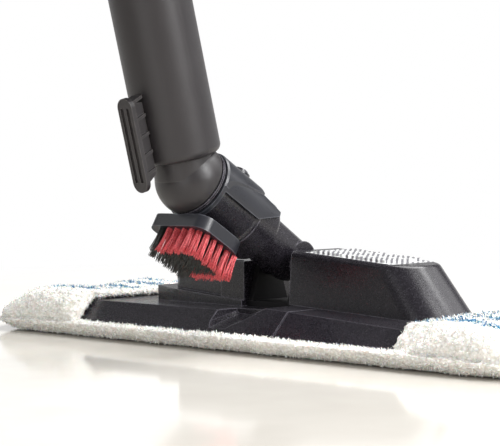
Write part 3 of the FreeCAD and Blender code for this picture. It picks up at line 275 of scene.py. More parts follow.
@dataclass(frozen=True)
class SmokeTank:
    """Clear SAN moulded in a polished tool: see-through, tinted smoke grey."""

    name: str = "san_polished_smoke"
    tint: str = "#7f8b93"
    haze: str = "#5d686f"
    cloud_mm: float = 18.0
    ripple_mm: float = 9.0
    wipe_mm: float = 4.0

    def build(self) -> bpy.types.Material:
        """Builds the material."""
        material, tree = new_tree(self.name)
        cloud = spread(tree, speckle(tree, self.cloud_mm), 0.0, 1.0)
        principled(tree, {
            "Base Color": blend_colour(tree, cloud, linear(self.tint), linear(self.haze)),
            "Roughness": spread(tree, speckle(tree, self.wipe_mm), 0.06, 0.14),
            "Normal": bumped(tree, speckle(tree, self.ripple_mm), 0.05),
            "IOR": 1.57, "Transmission Weight": 0.75,
        })
        return material


@dataclass(frozen=True)
class DrawnMetal:
    """Metal with the fine lines of drawing or turning along one axis."""

    name: str
    colour: str
    shade: str
    roughness: float
    line_mm: float
    stretch: float = 0.05

    def build(self) -> bpy.types.Material:
        """Builds the material."""
        material, tree = new_tree(self.name)
        drawn = add_node(tree, "Mapping", inputs={
            "Vector": own_place(tree), "Scale": (1, 1, self.stretch)}).outputs[0]
        lines = speckle(tree, self.line_mm, 4.0, drawn)
        share = spread(tree, lines, 0.0, 1.0)
        principled(tree, {
            "Base Color": blend_colour(tree, share, linear(self.colour), linear(self.shade)),
            "Roughness": spread(tree, lines, self.roughness - 0.06, self.roughness + 0.06),
            "Normal": bumped(tree, lines, 0.02), "Metallic": 1.0,
        })
        return material


@dataclass(frozen=True)
class Elastomer:
    """Compression-moulded rubber: dull, with a faint powdery bloom."""

    name: str
    colour: str
    bloom: str
    roughness: float = 0.7
    powder_mm: float = 1.2

    def build(self) -> bpy.types.Material:
        """Builds the material."""
        material, tree = new_tree(self.name)
        powder = speckle(tree, self.powder_mm)
        share = spread(tree, powder, 0.0, 0.5)
        principled(tree, {
            "Base Color": blend_colour(tree, share, linear(self.colour), linear(self.bloom)),
            "Roughness": spread(tree, powder, self.roughness - 0.08, self.roughness + 0.08),
            "Normal": bumped(tree, powder, 0.05), "IOR": 1.52,
        })
        return material


@dataclass(frozen=True)
class NylonFilament:
    """Extruded nylon bristle: slightly translucent, with pale streaks along its length painted as highlight.
    """

    name: str
    colour: str
    # pale colour of the painted highlight streaks
    tip: str
    roughness: float = 0.38
    streak_mm: float = 0.7

    def build(self) -> bpy.types.Material:
        """Builds the material."""
        material, tree = new_tree(self.name)
        streak = speckle(tree, self.streak_mm)
        # painted highlight: random streaks of the pale colour stand in for light along the filaments
        share = spread(tree, streak, 0.0, 1.0)
        principled(tree, {
            "Base Color": blend_colour(tree, share, linear(self.colour), linear(self.tip)),
            "Roughness": spread(tree, streak, self.roughness - 0.06, self.roughness + 0.1),
            "IOR": 1.53, "Subsurface Weight": 0.1, "Subsurface Scale": 0.6 * MM,
        })
        return material


@dataclass(frozen=True)
class HookTape:
    """Woven hook tape: dark backing full of stiff hooks."""

    name: str = "nylon_hook_tape"
    colour: str = "#2a2b2e"
    hook: str = "#6c6d70"
    hook_mm: float = 1.3
    relief_mm: float = 0.5

    def build(self) -> bpy.types.Material:
        """Builds the material."""
        material, tree = new_tree(self.name)
        hooks = add_node(tree, "TexVoronoi", inputs={
            "Vector": own_place(tree), "Scale": per_metre(self.hook_mm)}).outputs["Distance"]
        share = spread(tree, hooks, 1.0, 0.0, 0.1, 0.5)
        principled(tree, {
            "Base Color": blend_colour(tree, share, linear(self.colour), linear(self.hook)),
            "Roughness": spread(tree, hooks, 0.6, 0.85),
            "Normal": bumped(tree, hooks, self.relief_mm, sunken=True),
        })
        return material


@dataclass(frozen=True)
class Microfibre:
    """Knitted microfibre pile: small soft loops, some of them blue in broken stripes on each pocket, with
    painted shade in the hollows between loops.
    """

    name: str = "microfibre_pile_knitted"
    white: str = "#f7f5f1"
    shaded_hollow: str = "#dedad2"
    blue: str = "#1b6d94"
    loop_mm: float = 1.9
    pile_mm: float = 1.6
    relief_mm: float = 0.45
    stripe_pitch_mm: float = 17.0
    stripe_width_mm: float = 9.0
    stripe_blur_mm: float = 0.7
    wander_mm: float = 4.0
    wander_cell_mm: float = 5.0
    striped_mm: float = 43.0
    hem_mm: float = 116.5
    stripe_above_mm: float = 15.5

    def build(self) -> bpy.types.Material:
        """Builds the material."""
        material, tree = new_tree(self.name)
        place = own_place(tree)
        pile = speckle(tree, self.pile_mm, 3.0)
        loops = add_node(tree, "TexVoronoi", inputs={"Vector": place, "Scale": per_metre(self.loop_mm)})
        crown = spread(tree, loops.outputs["Distance"], 1.0, 0.0, 0.25, 0.75)
        # painted shade: the hollows between loops take the darker colour, the loop crowns the white
        white = blend_colour(tree, crown, linear(self.shaded_hollow), linear(self.white))
        yarn = self.stripes(tree, place, loops.outputs["Color"])
        principled(tree, {
            "Base Color": blend_colour(tree, yarn, white, linear(self.blue)),
            "Roughness": spread(tree, pile, 0.85, 0.97),
            "Normal": bumped(tree, crown, self.relief_mm, 0.7),
            "Sheen Weight": 0.3, "Sheen Roughness": 0.5,
            "Subsurface Weight": 0.15, "Subsurface Scale": 1.5 * MM,
        })
        return material

    def stripes(self, tree: Tree, place: Socket, chance: Socket) -> Socket:
        """Adds the share of blue yarn: wandering stripes along X on top of the pockets.

        Args:
            tree: Node tree to add to.
            place: Place on the pad.
            chance: A random value for each loop, which leaves some loops of a stripe white.

        Returns:
            The share, from 0 to 1.
        """
        axis = add_node(tree, "SeparateXYZ", inputs={"Vector": place}).outputs
        wander = math_node(tree, "MULTIPLY_ADD", speckle(tree, self.wander_cell_mm),
                           self.wander_mm * MM, axis["Y"])
        turns = math_node(tree, "PINGPONG", wander, self.stripe_pitch_mm / 2 * MM)
        edge, blur = self.stripe_width_mm / 2, self.stripe_blur_mm
        endwards = math_node(tree, "ABSOLUTE", axis["X"])
        sideways = math_node(tree, "ABSOLUTE", axis["Y"])
        masks = [
            spread(tree, turns, 1.0, 0.0, (edge - blur) * MM, (edge + blur) * MM),
            spread(tree, sideways, 1.0, 0.0, (self.striped_mm - 1) * MM, (self.striped_mm + 1) * MM),
            spread(tree, axis["Z"], 0.0, 1.0, (self.stripe_above_mm - 2) * MM, self.stripe_above_mm * MM),
            spread(tree, endwards, 0.0, 1.0, (self.hem_mm - 1.5) * MM, (self.hem_mm + 1.5) * MM),
            spread(tree, chance, 0.0, 1.0, 0.28, 0.40),
        ]
        yarn = masks[0]
        for mask in masks[1:]:
            yarn = math_node(tree, "MULTIPLY", yarn, mask)
        return yarn


class Slot(Enum):
    """The record's material slots."""

    TUBE = "tube_plastic"
    HOOD = "hood_plastic"
    BASE = "base_plastic"
    TREAD = "tread_plastic"
    TANK = "tank_plastic"
    PAD = "pad_microfibre"
    STRIP = "strip_fabric"
    SEAL = "seal_rubber"
    STEEL = "steel"
    ALUMINIUM = "aluminium"
    RED = "bristle_red"
    BLACK = "bristle_black"
    INNER = "inner_plastic"
    BRACKET = "bracket_plastic"
    ACCENT = "accent_plastic"


FINISHES = {
    # ABS, spark-eroded mould: warm graphite, soft broad highlight down the tube
    Slot.TUBE: MouldedPlastic(
        "abs_moulded_satin_graphite", "#221f21", "#282527",
        roughness=0.42, grain_mm=0.9, grain_depth_mm=0.02, edge="#454241", specular=0.47),
    # ABS, finer mould texture: cooler grey with a tighter shine
    Slot.HOOD: MouldedPlastic(
        "abs_moulded_semigloss_slate", "#1f2025", "#27282e",
        roughness=0.32, grain_mm=0.7, grain_depth_mm=0.02, edge="#5b5d64"),
    # polypropylene, deeper spark grain: near black, faint painted glints and pale edges that are part
    # handling wear, part painted highlight
    Slot.BASE: MouldedPlastic(
        "polypropylene_moulded_grained_black", "#18161b", "#201d23",
        roughness=0.27, grain_mm=0.7, grain_depth_mm=0.018, edge="#75727b", painted_glint=0.14),
    # silver print between raised ribs: the one pale, striped patch on the head
    Slot.TREAD: PrintedTread(),
    # clear smoke-grey SAN: the inside of the tank shows dimly
    Slot.TANK: SmokeTank(),
    # knitted pile: white, soft and lively at the edge, no shine
    Slot.PAD: Microfibre(),
    # woven hooks: dark and rough, swallows light under the plate
    Slot.STRIP: HookTape(),
    # EPDM rubber: a dull black line at the joints
    Slot.SEAL: Elastomer("epdm_moulded_black", "#141415", "#232324"),
    # turned stainless pins: bright, with fine rings
    Slot.STEEL: DrawnMetal("stainless_turned_bright", "#b9b7b2", "#8f8d89", roughness=0.28, line_mm=0.4),
    # cast and drawn aluminium: dull grey with a soft streak
    Slot.ALUMINIUM: DrawnMetal("aluminium_cast_dull", "#a9abad", "#85878a", roughness=0.42, line_mm=0.8),
    # nylon filament dyed through: strong red with pale pink painted highlight in random streaks
    Slot.RED: NylonFilament("nylon_extruded_red", "#b41f2b", "#f47479"),
    # the same filament in black: separate glossy hairs, with grey painted highlight streaks
    Slot.BLACK: NylonFilament("nylon_extruded_black", "#1c1d1c", "#3a3c39"),
    # undyed polyamide: matt pale grey of parts that nobody sees
    Slot.INNER: MouldedPlastic(
        "polyamide_moulded_natural_grey", "#8d8d88", "#9b9b96",
        roughness=0.5, grain_mm=1.0, grain_depth_mm=0.03, edge="#a9a9a4"),
    # glass-filled polyamide, bead-blasted mould: dead black, hardly any shine; set darker than the head's
    # other black plastic as painted shade in the slot under the neck
    Slot.BRACKET: MouldedPlastic(
        "polyamide_glass_filled_black_painted_slot_shade", "#0d0c0e", "#141315",
        roughness=0.6, grain_mm=1.0, grain_depth_mm=0.05, edge="#1d1c1f", specular=0.25),
    # ABS in mid grey: the parts meant for a finger stand out
    Slot.ACCENT: MouldedPlastic(
        "abs_moulded_accent_grey", "#6d7075", "#7a7d82",
        roughness=0.38, grain_mm=0.8, grain_depth_mm=0.02, edge="#9a9da2"),
}


@dataclass(frozen=True)
class Wardrobe:
    """One built material for each slot."""

    materials: dict[Slot, bpy.types.Material]

    @classmethod
    def stitched(cls) -> "Wardrobe":
        """Builds every finish once."""
        return cls({slot: finish.build() for slot, finish in FINISHES.items()})

    def dress(self, piece: bpy.types.Object, slot: Slot) -> None:
        """Puts a slot's material on every face of a piece."""
        if piece.material_slots:
            for place in piece.material_slots:
                place.material = self.materials[slot]
        else:
            piece.data.materials.append(self.materials[slot])


# ------------------------------------------------------------------ meshes

def link_mesh(name: str, points: list[Any], faces: list[Any]) -> bpy.types.Object:
    """Makes a mesh object out of points in metres and faces, and links it to the scene."""
    mesh = bpy.data.meshes.new(name)
    mesh.from_pydata([tuple(point) for point in points], [], faces)
    mesh.update()
    piece = bpy.data.objects.new(name, mesh)
    bpy.context.scene.collection.objects.link(piece)
    return piece


def part_of(distance: float, run: float) -> float:
    """How far along a run a distance is, from 0 to 1."""
    return min(max(distance, 0.0) / run, 1.0)


class Skin:
    """Collects closed surfaces in millimetres for one mesh."""

    def __init__(self) -> None:
        self.points: list[Point] = []
        self.faces: list[tuple[int, ...]] = []

    def blanket(self, rows: int, columns: int, upper: Callable[[float, float], Point],
                lower: Callable[[float, float], Point]) -> None:
        """Adds a closed shell between two sheets over the same square of parameters.

        Args:
            rows: Steps along the first parameter.
            columns: Steps along the second parameter.
            upper: Point of the upper sheet for two parameters from 0 to 1.
            lower: Point of the lower sheet.
        """
        start = len(self.points)
        wide = columns + 1
        for sheet in (upper, lower):
            for i in range(rows + 1):
                self.points += [sheet(i / rows, j / columns) for j in range(wide)]
        gap = (rows + 1) * wide
        for i in range(rows):
            for j in range(columns):
                a = start + i * wide + j
                self.faces.append((a, a + wide, a + wide + 1, a + 1))
                self.faces.append((a + gap, a + gap + 1, a + gap + wide + 1, a + gap + wide))
        rim = [i * wide for i in range(rows)] + [rows * wide + j for j in range(columns)]
        rim += [i * wide + columns for i in range(rows, 0, -1)] + list(range(columns, 0, -1))
        for here, there in zip(rim, rim[1:] + rim[:1]):
            self.faces.append((start + here, start + here + gap, start + there + gap, start + there))

    def felted(self, name: str, voxel_mm: float) -> bpy.types.Object:
        """Merges the surfaces into one skin of even small faces.

        Args:
            name: Name of the finished piece.
            voxel_mm: Size of the even faces.

        Returns:
            The piece, linked to the scene and shaded smooth.
        """
        rough = link_mesh(name + "_rough", [[c * MM for c in point] for point in self.points], self.faces)
        felt = rough.modifiers.new("felt", "REMESH")
        felt.mode, felt.voxel_size = "VOXEL", voxel_mm * MM
        soften = rough.modifiers.new("soften", "SMOOTH")
        soften.iterations, soften.factor = 2, 0.5
        ready = rough.evaluated_get(bpy.context.evaluated_depsgraph_get())
        piece = bpy.data.objects.new(name, bpy.data.meshes.new_from_object(ready))
        bpy.data.objects.remove(rough)
        bpy.context.scene.collection.objects.link(piece)
        piece.data.shade_smooth()
        return piece


@dataclass(frozen=True)
class Ripple:
    """One scale of unevenness in cloth: its height and the size of its cells."""

    height_mm: float
    cell_mm: float

    def at(self, place: Vector) -> float:
        """Height at a place in millimetres."""
        return self.height_mm * noise.noise(place / self.cell_mm)

    def bell(self, distance_mm: float) -> float:
        """Height at a distance from the middle of a single fold."""
        return self.height_mm * math.exp(-(distance_mm / self.cell_mm) ** 2)


@dataclass(frozen=True)
class Pocket:
    """How one end pocket of the pad sits: which side, and how its mouth lies on the plate."""

    side: int
    lip_mm: float
    run_mm: float
    plate_top_mm: float
    crown_mm: float
    mouth_mm: float
    swell: float


@dataclass(frozen=True)
class Plate:
    """The head's plate as the cloth feels it."""

    length_mm: float = 312.0
    depth_mm: float = 101.0
    corner_mm: float = 26.0
    low_mm: float = 8.5
    draft: float = 0.973
    cloth_mm: float = 0.7
    margin_mm: float = 1.0

    def surface(self, x: float, y: float, top: float) -> float | None:
        """Height at which cloth lies on the plate.

        Args:
            x: Place along the plate, in millimetres.
            y: Place across the plate.
            top: Height of the plate's upper face there.

        Returns:
            The height, or None beside the plate.
        """
        over_x = max(abs(x) - self.length_mm / 2 + self.corner_mm, 0.0)
        over_y = max(abs(y) - self.depth_mm / 2 + self.corner_mm, 0.0)
        inside = min(self.corner_mm - math.hypot(over_x, over_y), self.length_mm / 2 - abs(x),
                     self.depth_mm / 2 - abs(y)) + self.margin_mm
        if inside <= 0:
            return None
        return self.low_mm + self.cloth_mm + min(max(inside, 0.0) / self.draft, top - self.low_mm)


@dataclass(frozen=True)
class MopPad:
    """Microfibre pad: pillow-edged sole with a stuffed pocket over each end of the plate."""

    length_mm: float = 400.0
    depth_mm: float = 121.0
    corner_mm: float = 34.0
    seam_mm: float = 8.6
    sole_mm: float = 8.1
    floor_mm: float = 0.3
    under_mm: float = 11.0
    under_tip_mm: float = 42.0
    roll_mm: float = 5.0
    puff_mm: float = 9.0
    mouth_mm: float = 112.0
    tip_from_mm: float = 150.0
    tip_span_mm: float = 50.0
    tip_drop_mm: float = 3.2
    tip_run_mm: float = 46.0
    end_hem_mm: float = 1.2
    side_hem_mm: float = 1.6
    wall_run_mm: float = 14.0
    wall_swell: tuple[float, float] = (2.2, 0.45)
    tip_swell: float = 0.8
    sag: Ripple = Ripple(0.9, 11.0)
    stitch: Ripple = Ripple(1.1, 3.0)
    stitch_from_mm: float = 128.0
    tuck_mm: float = 1.5
    sunk_mm: float = 3.5
    lining_mm: float = 2.6
    waves: Ripple = Ripple(0.7, 21.0)
    clumps: Ripple = Ripple(0.8, 3.4)
    loops: Ripple = Ripple(0.35, 1.7)
    crease: Ripple = Ripple(1.5, 1.1)
    pressed: float = 0.1
    voxel_mm: float = 1.3
    fill: float = 0.6
    sole_grid: tuple[int, int] = (200, 62)
    pocket_grid: tuple[int, int] = (46, 62)
    plate: Plate = Plate()
    pockets: tuple[Pocket, ...] = (
        Pocket(side=-1, lip_mm=4.6, run_mm=12.0, plate_top_mm=19.6, crown_mm=24.8, mouth_mm=112.0, swell=0.8),
        Pocket(side=1, lip_mm=2.6, run_mm=52.0, plate_top_mm=17.4, crown_mm=24.2, mouth_mm=114.5, swell=1.3),
    )

    def half_depth(self, x: float) -> float:
        """Half of the pad's depth at x, its corners rounded."""
        flat = self.length_mm / 2 - self.corner_mm
        over = min(max(abs(x) - flat, 0.0), self.corner_mm)
        round_off = self.corner_mm - math.sqrt(max(self.corner_mm ** 2 - over ** 2, 0.0))
        return self.depth_mm / 2 - round_off

    def edges(self, x: float, y: float) -> tuple[float, float]:
        """Distances inwards from the pad's end and from its long side."""
        return max(self.length_mm / 2 - abs(x), 0.0), max(self.half_depth(x) - abs(y), 0.0)

    def seam(self, x: float) -> float:
        """Height of the seam that joins sole and pocket, lower at the tips."""
        tip = max((abs(x) - self.tip_from_mm) / self.tip_span_mm, 0.0)
        return self.seam_mm - self.tip_drop_mm * tip ** 1.5

    def spot(self, u: float, v: float) -> tuple[float, float]:
        """Place in the pad's outline for two parameters from 0 to 1."""
        x = (2 * u - 1) * self.length_mm / 2
        return x, (2 * v - 1) * self.half_depth(x)

    def under(self, u: float, v: float) -> Point:
        """Underside: flat on the floor, curling up to the seam."""
        x, y = self.spot(u, v)
        end, flank = self.edges(x, y)
        curl = math.hypot(max(1 - flank / self.under_mm, 0.0), max(1 - end / self.under_tip_mm, 0.0))
        return x, y, self.floor_mm + (self.seam(x) - self.floor_mm) * min(curl, 1.0) ** 2.2

    def upper(self, u: float, v: float) -> Point:
        """Upper side of the sole, which rolls over at the edge."""
        x, y = self.spot(u, v)
        flank = min(self.edges(x, y))
        roll = 0.6 * max(1 - flank / self.roll_mm, 0.0)
        puff = 0.9 * math.sin(math.pi * min(flank / self.puff_mm, 1.0))
        top = self.sole_mm - self.seam_mm + self.seam(x)
        return x, y, top + puff - roll

    def lining(self, x: float, y: float, top: float) -> float:
        """Height of a pocket's inside: on the plate, or sunk in the sole beside it."""
        on_plate = self.plate.surface(x, y, top)
        return self.seam_mm - self.sunk_mm if on_plate is None else on_plate

    def pocket(self, skin: Skin, cut: Pocket) -> None:
        """Adds one pocket to the skin."""
        def place(u: float, v: float) -> tuple[float, float]:
            x = cut.mouth_mm + u * (self.length_mm / 2 - self.end_hem_mm - cut.mouth_mm)
            return x, (2 * v - 1) * max(self.half_depth(x) - self.side_hem_mm, 4.0)

        def inner(u: float, v: float) -> Point:
            x, y = place(u, v)
            return cut.side * x, y, self.lining(x, y, cut.plate_top_mm)

        def outer(u: float, v: float) -> Point:
            x, y = place(u, v)
            end, flank = self.edges(x, y)
            wall = 1 - part_of(flank - self.side_hem_mm, self.wall_run_mm)
            tip = part_of(end - self.end_hem_mm, self.tip_run_mm)
            bulge, roundness = self.wall_swell
            stuffed = (1 - wall ** bulge) ** roundness * tip ** self.tip_swell
            foot = self.seam(x) - self.tuck_mm
            top = foot + (cut.crown_mm - foot) * stuffed
            sag = self.sag.height_mm * math.sin(y / self.sag.cell_mm + cut.side) * stuffed
            stitch = self.stitch.bell(x - self.stitch_from_mm) * stuffed
            top += sag - stitch
            inside = self.lining(x, y, cut.plate_top_mm)
            lift = min((x - cut.mouth_mm) / cut.run_mm, 1.0)
            lip = min(inside + cut.lip_mm, top)
            ease = math.sin(lift * math.pi / 2) ** cut.swell
            least = inside + self.lining_mm if stuffed > 0.4 else 0.0
            return cut.side * x, y, max(lip + (top - lip) * ease, least)

        skin.blanket(*self.pocket_grid, outer, inner)

    def build(self, wardrobe: Wardrobe) -> None:
        """Sews the pad, raises its pile and hands it to the head."""
        skin = Skin()
        skin.blanket(*self.sole_grid, self.upper, self.under)
        for cut in self.pockets:
            self.pocket(skin, cut)
        pad = skin.felted("microfibre_pad", self.voxel_mm * (1.0))
        self.raise_pile(pad.data)
        Fluff().grow(pad.data, self.bare)
        wardrobe.dress(pad, Slot.PAD)
        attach(pad, "head")
        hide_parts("pad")
        LOG.info("pad sewn with %d faces", len(pad.data.polygons))

    def raise_pile(self, mesh: bpy.types.Mesh) -> None:
        """Pushes the skin in and out: lazy waves of the cloth and clumps of loops."""
        normals = [vertex.normal.copy() for vertex in mesh.vertices]
        places: list[float] = []
        for vertex, normal in zip(mesh.vertices, normals):
            at = vertex.co / MM
            clumps = self.clumps.at(at) + self.loops.at(at)
            if abs(at.x) > self.mouth_mm - 6 and abs(normal.z) < 0.8:
                clumps -= self.crease.bell(at.z - self.seam(at.x) - 0.6)
            beneath = abs(at.x) < self.mouth_mm and abs(at.y) < self.plate.depth_mm / 2 + 1
            free = self.pressed if beneath and normal.z > 0.3 or at.z < 1.2 else 1.0
            moved = vertex.co + normal * (self.waves.at(at) + clumps) * free * MM
            places += [moved.x, moved.y, max(moved.z, LOWEST)]
        mesh.vertices.foreach_set("co", places)
        mesh.update()

    def bare(self, at: Vector, normal: Vector) -> bool:
        """Tells whether the pad lies on the plate or the floor, where no loop can stand.

        Args:
            at: Place on the pad, in millimetres.
            normal: The pad's normal there.
        """
        on_floor = at.z < 0.9
        near_plate = (abs(at.x) < self.mouth_mm + 30 and abs(at.y) < self.plate.depth_mm / 2 + 1
                      and at.z < 19 and normal.z > -0.5)
        pocket_top = abs(at.x) > self.mouth_mm and normal.z > 0.6 and at.z > 16
        return on_floor or near_plate and not pocket_top


@dataclass(frozen=True)
class Fluff:
    """Loose loops of yarn that stand off the pad."""

    per_square_cm: float = 60.0
    length_mm: float = 1.5
    width_mm: float = 0.20
    curl: float = 0.75
    bend: float = 0.5
    knee: float = 0.55
    widths: tuple[float, float] = (0.6, 1.2)
    lengths: tuple[float, float] = (0.5, 1.25)
    seed: int = 11

    def grow(self, mesh: bpy.types.Mesh, bare: Callable[[Vector, Vector], bool]) -> None:
        """Adds bent ribbons to a mesh.

        Args:
            mesh: Mesh to grow on; it is rebuilt with the ribbons in it.
            bare: Tells for a place in millimetres and its normal whether nothing grows there.
        """
        chance = random.Random(self.seed)
        points = [vertex.co.copy() for vertex in mesh.vertices]
        faces = [tuple(face.vertices) for face in mesh.polygons]
        for face in list(mesh.polygons):
            expected = face.area * SQUARE_CM * self.per_square_cm
            if chance.random() > expected or bare(face.center / MM, face.normal):
                continue
            along = (face.normal + Vector(chance.gauss(0, self.curl) for _ in range(3))).normalized()
            side = along.orthogonal()
            side.rotate(Quaternion(along, chance.uniform(0, math.tau)))
            side *= self.width_mm * MM * chance.uniform(*self.widths)
            bend = Vector(chance.gauss(0, self.bend) for _ in range(3))
            reach = self.length_mm * MM * chance.uniform(*self.lengths)
            knee = face.center + along * reach * self.knee
            tip = knee + (along + bend).normalized() * reach * 0.5
            start = len(points)
            points += [face.center - side, face.center + side, knee + side, knee - side, tip]
            faces += [(start, start + 1, start + 2, start + 3), (start + 3, start + 2, start + 4)]
        for point in points:
            point.z = max(point.z, LOWEST)
        mesh.clear_geometry()
        mesh.from_pydata(points, [], faces)
        mesh.shade_smooth()


Tuft = tuple[Vector, Vector]


def mean(points: list[Vector]) -> Vector:
    """Middle of some points."""
    return sum(points, Vector()) / max(len(points), 1)


def tuft_axes(node: bpy.types.Object, shortest_mm: float = 6.0) -> list[Tuft]:
    """Foot and reach of every round bar in a CAD node.

    Args:
        node: CAD node made of separate round bars.
        shortest_mm: Loose end faces reach less than this and are left out.

    Returns:
        Middle of the end nearest the neck and the vector to the other end, for each bar.
    """
    mesh = node.data
    group = list(range(len(mesh.vertices)))

    def root(index: int) -> int:
        while group[index] != index:
            group[index] = group[group[index]]
            index = group[index]
        return index

    for edge in mesh.edges:
        first, second = (root(index) for index in edge.vertices)
        group[first] = second
    bars: dict[int, list[Vector]] = {}
    for vertex in mesh.vertices:
        bars.setdefault(root(vertex.index), []).append(node.matrix_world @ vertex.co)
    found = []
    for spots in bars.values():
        middle = mean(spots)
        high = mean([spot for spot in spots if spot.z > middle.z])
        low = mean([spot for spot in spots if spot.z <= middle.z])
        if (low - high).length > shortest_mm * MM:
            found.append((high, low - high))
    return found


@dataclass(frozen=True)
class Brush:
    """Scrubbing brush under the neck: filaments punched in the places of the CAD tufts."""

    node: str
    slot: Slot
    strands: int
    seed: int
    pitch_mm: float = 5.4
    half_mm: float = 20.0
    tuft_mm: float = 1.62
    strand_mm: float = 0.26
    taper: float = 0.35
    splay: float = 0.035
    unruly: float = 0.03
    fan: float = 0.09
    fan_at_mm: float = 2.0
    bow: float = 0.8
    extra_mm: float = 0.8
    steps: int = 4
    sides: int = 3

    def build(self, wardrobe: Wardrobe, nodes: dict[str, bpy.types.Object]) -> None:
        """Punches every tuft of one colour and hands the filaments to the neck."""
        chance = random.Random(self.seed)
        points: list[Vector] = []
        faces: list[tuple[int, ...]] = []
        tufts = self.with_corners(tuft_axes(nodes[self.node]))
        middle = mean([foot for name in ("bristles_red", "bristles_black")
                       for foot, _ in tuft_axes(nodes[name])])
        for foot, reach in tufts:
            for _ in range(self.strands):
                self.strand(points, faces, chance, foot, reach, foot - middle)
        brush = link_mesh(self.node + "_filaments", points, faces)
        brush.data.shade_smooth()
        wardrobe.dress(brush, self.slot)
        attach(brush, "neck")
        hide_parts(self.node)
        LOG.info("%s has %d tufts", self.node, len(tufts))

    def with_corners(self, tufts: list[Tuft]) -> list[Tuft]:
        """Adds a tuft wherever a row turns a corner that the CAD rows leave open.

        Args:
            tufts: Foot and reach of each tuft of one colour.

        Returns:
            The tufts and the added ones.
        """
        next_door = self.pitch_mm * 1.1 * MM
        middle = mean([foot for foot, _ in tufts])
        added = []
        for i, (foot, reach) in enumerate(tufts):
            for other, _ in tufts[i + 1:]:
                diagonal = 1.3 < (other - foot).length / MM / self.pitch_mm < 1.55
                linked = any((spot - foot).length < next_door and (spot - other).length < next_door
                             for spot, _ in tufts if spot not in (foot, other))
                if diagonal and not linked:
                    corner = (foot + other) / 2
                    added.append((corner + (corner - middle).normalized() * self.pitch_mm * 0.2 * MM, reach))
        return tufts + added

    def strand(self, points: list[Vector], faces: list[tuple[int, ...]], chance: random.Random,
               foot: Vector, reach: Vector, away: Vector) -> None:
        """Adds one thin filament that leans away from the brush's middle.

        Args:
            points: Points of the whole brush, to add to.
            faces: Faces of the whole brush, to add to.
            chance: Source of the random draws.
            foot: Middle of the tuft in the bezel.
            reach: Vector from the foot to the tuft's other end.
            away: Vector from the brush's middle to the foot.
        """
        along = reach.normalized()
        side = along.orthogonal().normalized()
        other = along.cross(side)
        turn, out = chance.uniform(0, math.tau), math.sqrt(chance.random()) * self.tuft_mm * MM
        spot = (side * math.cos(turn) + other * math.sin(turn)) * out
        lean = (away / (self.half_mm * MM)) * self.splay + spot / (self.fan_at_mm * MM) * self.fan
        lean += (side * chance.gauss(0, 1) + other * chance.gauss(0, 1)) * self.unruly
        length = reach.length * chance.uniform(0.9, 1.0) + self.extra_mm * MM
        start, sides = len(points), self.sides
        for i in range(self.steps + 1):
            t = i / self.steps
            core = foot + spot + along * length * t + lean * length * t * t * self.bow
            thick = self.strand_mm * MM * (1 - self.taper * t)
            for k in range(sides):
                angle = math.tau * k / sides
                points.append(core + (side * math.cos(angle) + other * math.sin(angle)) * thick)
        for i in range(self.steps):
            for k in range(sides):
                a, b = start + sides * i + k, start + sides * i + (k + 1) % sides
                faces.append((a, b, b + sides, a + sides))
        faces.append(tuple(start + sides * self.steps + k for k in range(sides)))


# ------------------------------------------------------------------ stage

@dataclass(frozen=True)
class Camera:
    """Low view from the rear right, as a buyer kneeling by the mop would have."""

    eye: Point = (0.5593, -0.5972, 0.0885)
    aim: Point = (-0.0140, -0.0138, 0.0641)
    lens_mm: float = 110.0
    sensor_mm: float = 36.0
    roll_deg: float = -0.47
    near: float = 0.01
    far: float = 60.0

    def build(self) -> None:
        """Places the camera and makes it the scene's own."""
        data = bpy.data.cameras.new("camera")
        data.lens, data.sensor_width = self.lens_mm, self.sensor_mm
        data.clip_start, data.clip_end = self.near, self.far
        camera = bpy.data.objects.new("camera", data)
        bpy.context.scene.collection.objects.link(camera)
        eye, aim = Vector(self.eye), Vector(self.aim)
        turn = (aim - eye).to_track_quat("-Z", "Y").to_matrix().to_4x4()
        roll = Matrix.Rotation(math.radians(self.roll_deg), 4, "Z")
        camera.matrix_world = Matrix.Translation(eye) @ turn @ roll
        bpy.context.scene.camera = camera


@dataclass(frozen=True)
class Softbox:
    """One rectangular lamp: its place and what it faces in metres, its size and its power."""

    name: str
    place: Point
    aim: Point
    width: float
    height: float
    watts: float

    def build(self) -> None:
        """Hangs the lamp."""
        data = bpy.data.lights.new(self.name, "AREA")
        data.shape = "RECTANGLE"
        data.size, data.size_y, data.energy = self.width, self.height, self.watts
        lamp = bpy.data.objects.new(self.name, data)
        bpy.context.scene.collection.objects.link(lamp)
        lamp.location = self.place
        towards = Vector(self.aim) - Vector(self.place)
        lamp.rotation_euler = towards.to_track_quat("-Z", "Y").to_euler()


SOFTBOXES = (
    Softbox("key_softbox", (1.20, 0.12, 0.75), (0.02, 0.0, 0.10),
            width=0.45, height=1.0, watts=24.0),
    Softbox("top_softbox", (0.2, 0.6, 1.4), (0.0, 0.0, 0.05),
            width=1.1, height=1.1, watts=26.0),
    Softbox("side_softbox", (0.60, 1.20, 0.95), (0.1, 0.0, 0.05),
            width=0.8, height=0.8, watts=4.0),
    Softbox("rear_fill", (-1.3, -1.0, 0.9), (0.0, 0.0, 0.1),
            width=1.2, height=1.2, watts=3.0),
    Softbox("front_fill", (0.5, -1.5, 0.4), (0.0, 0.0, 0.02),
            width=0.9, height=0.7, watts=6.0),
)


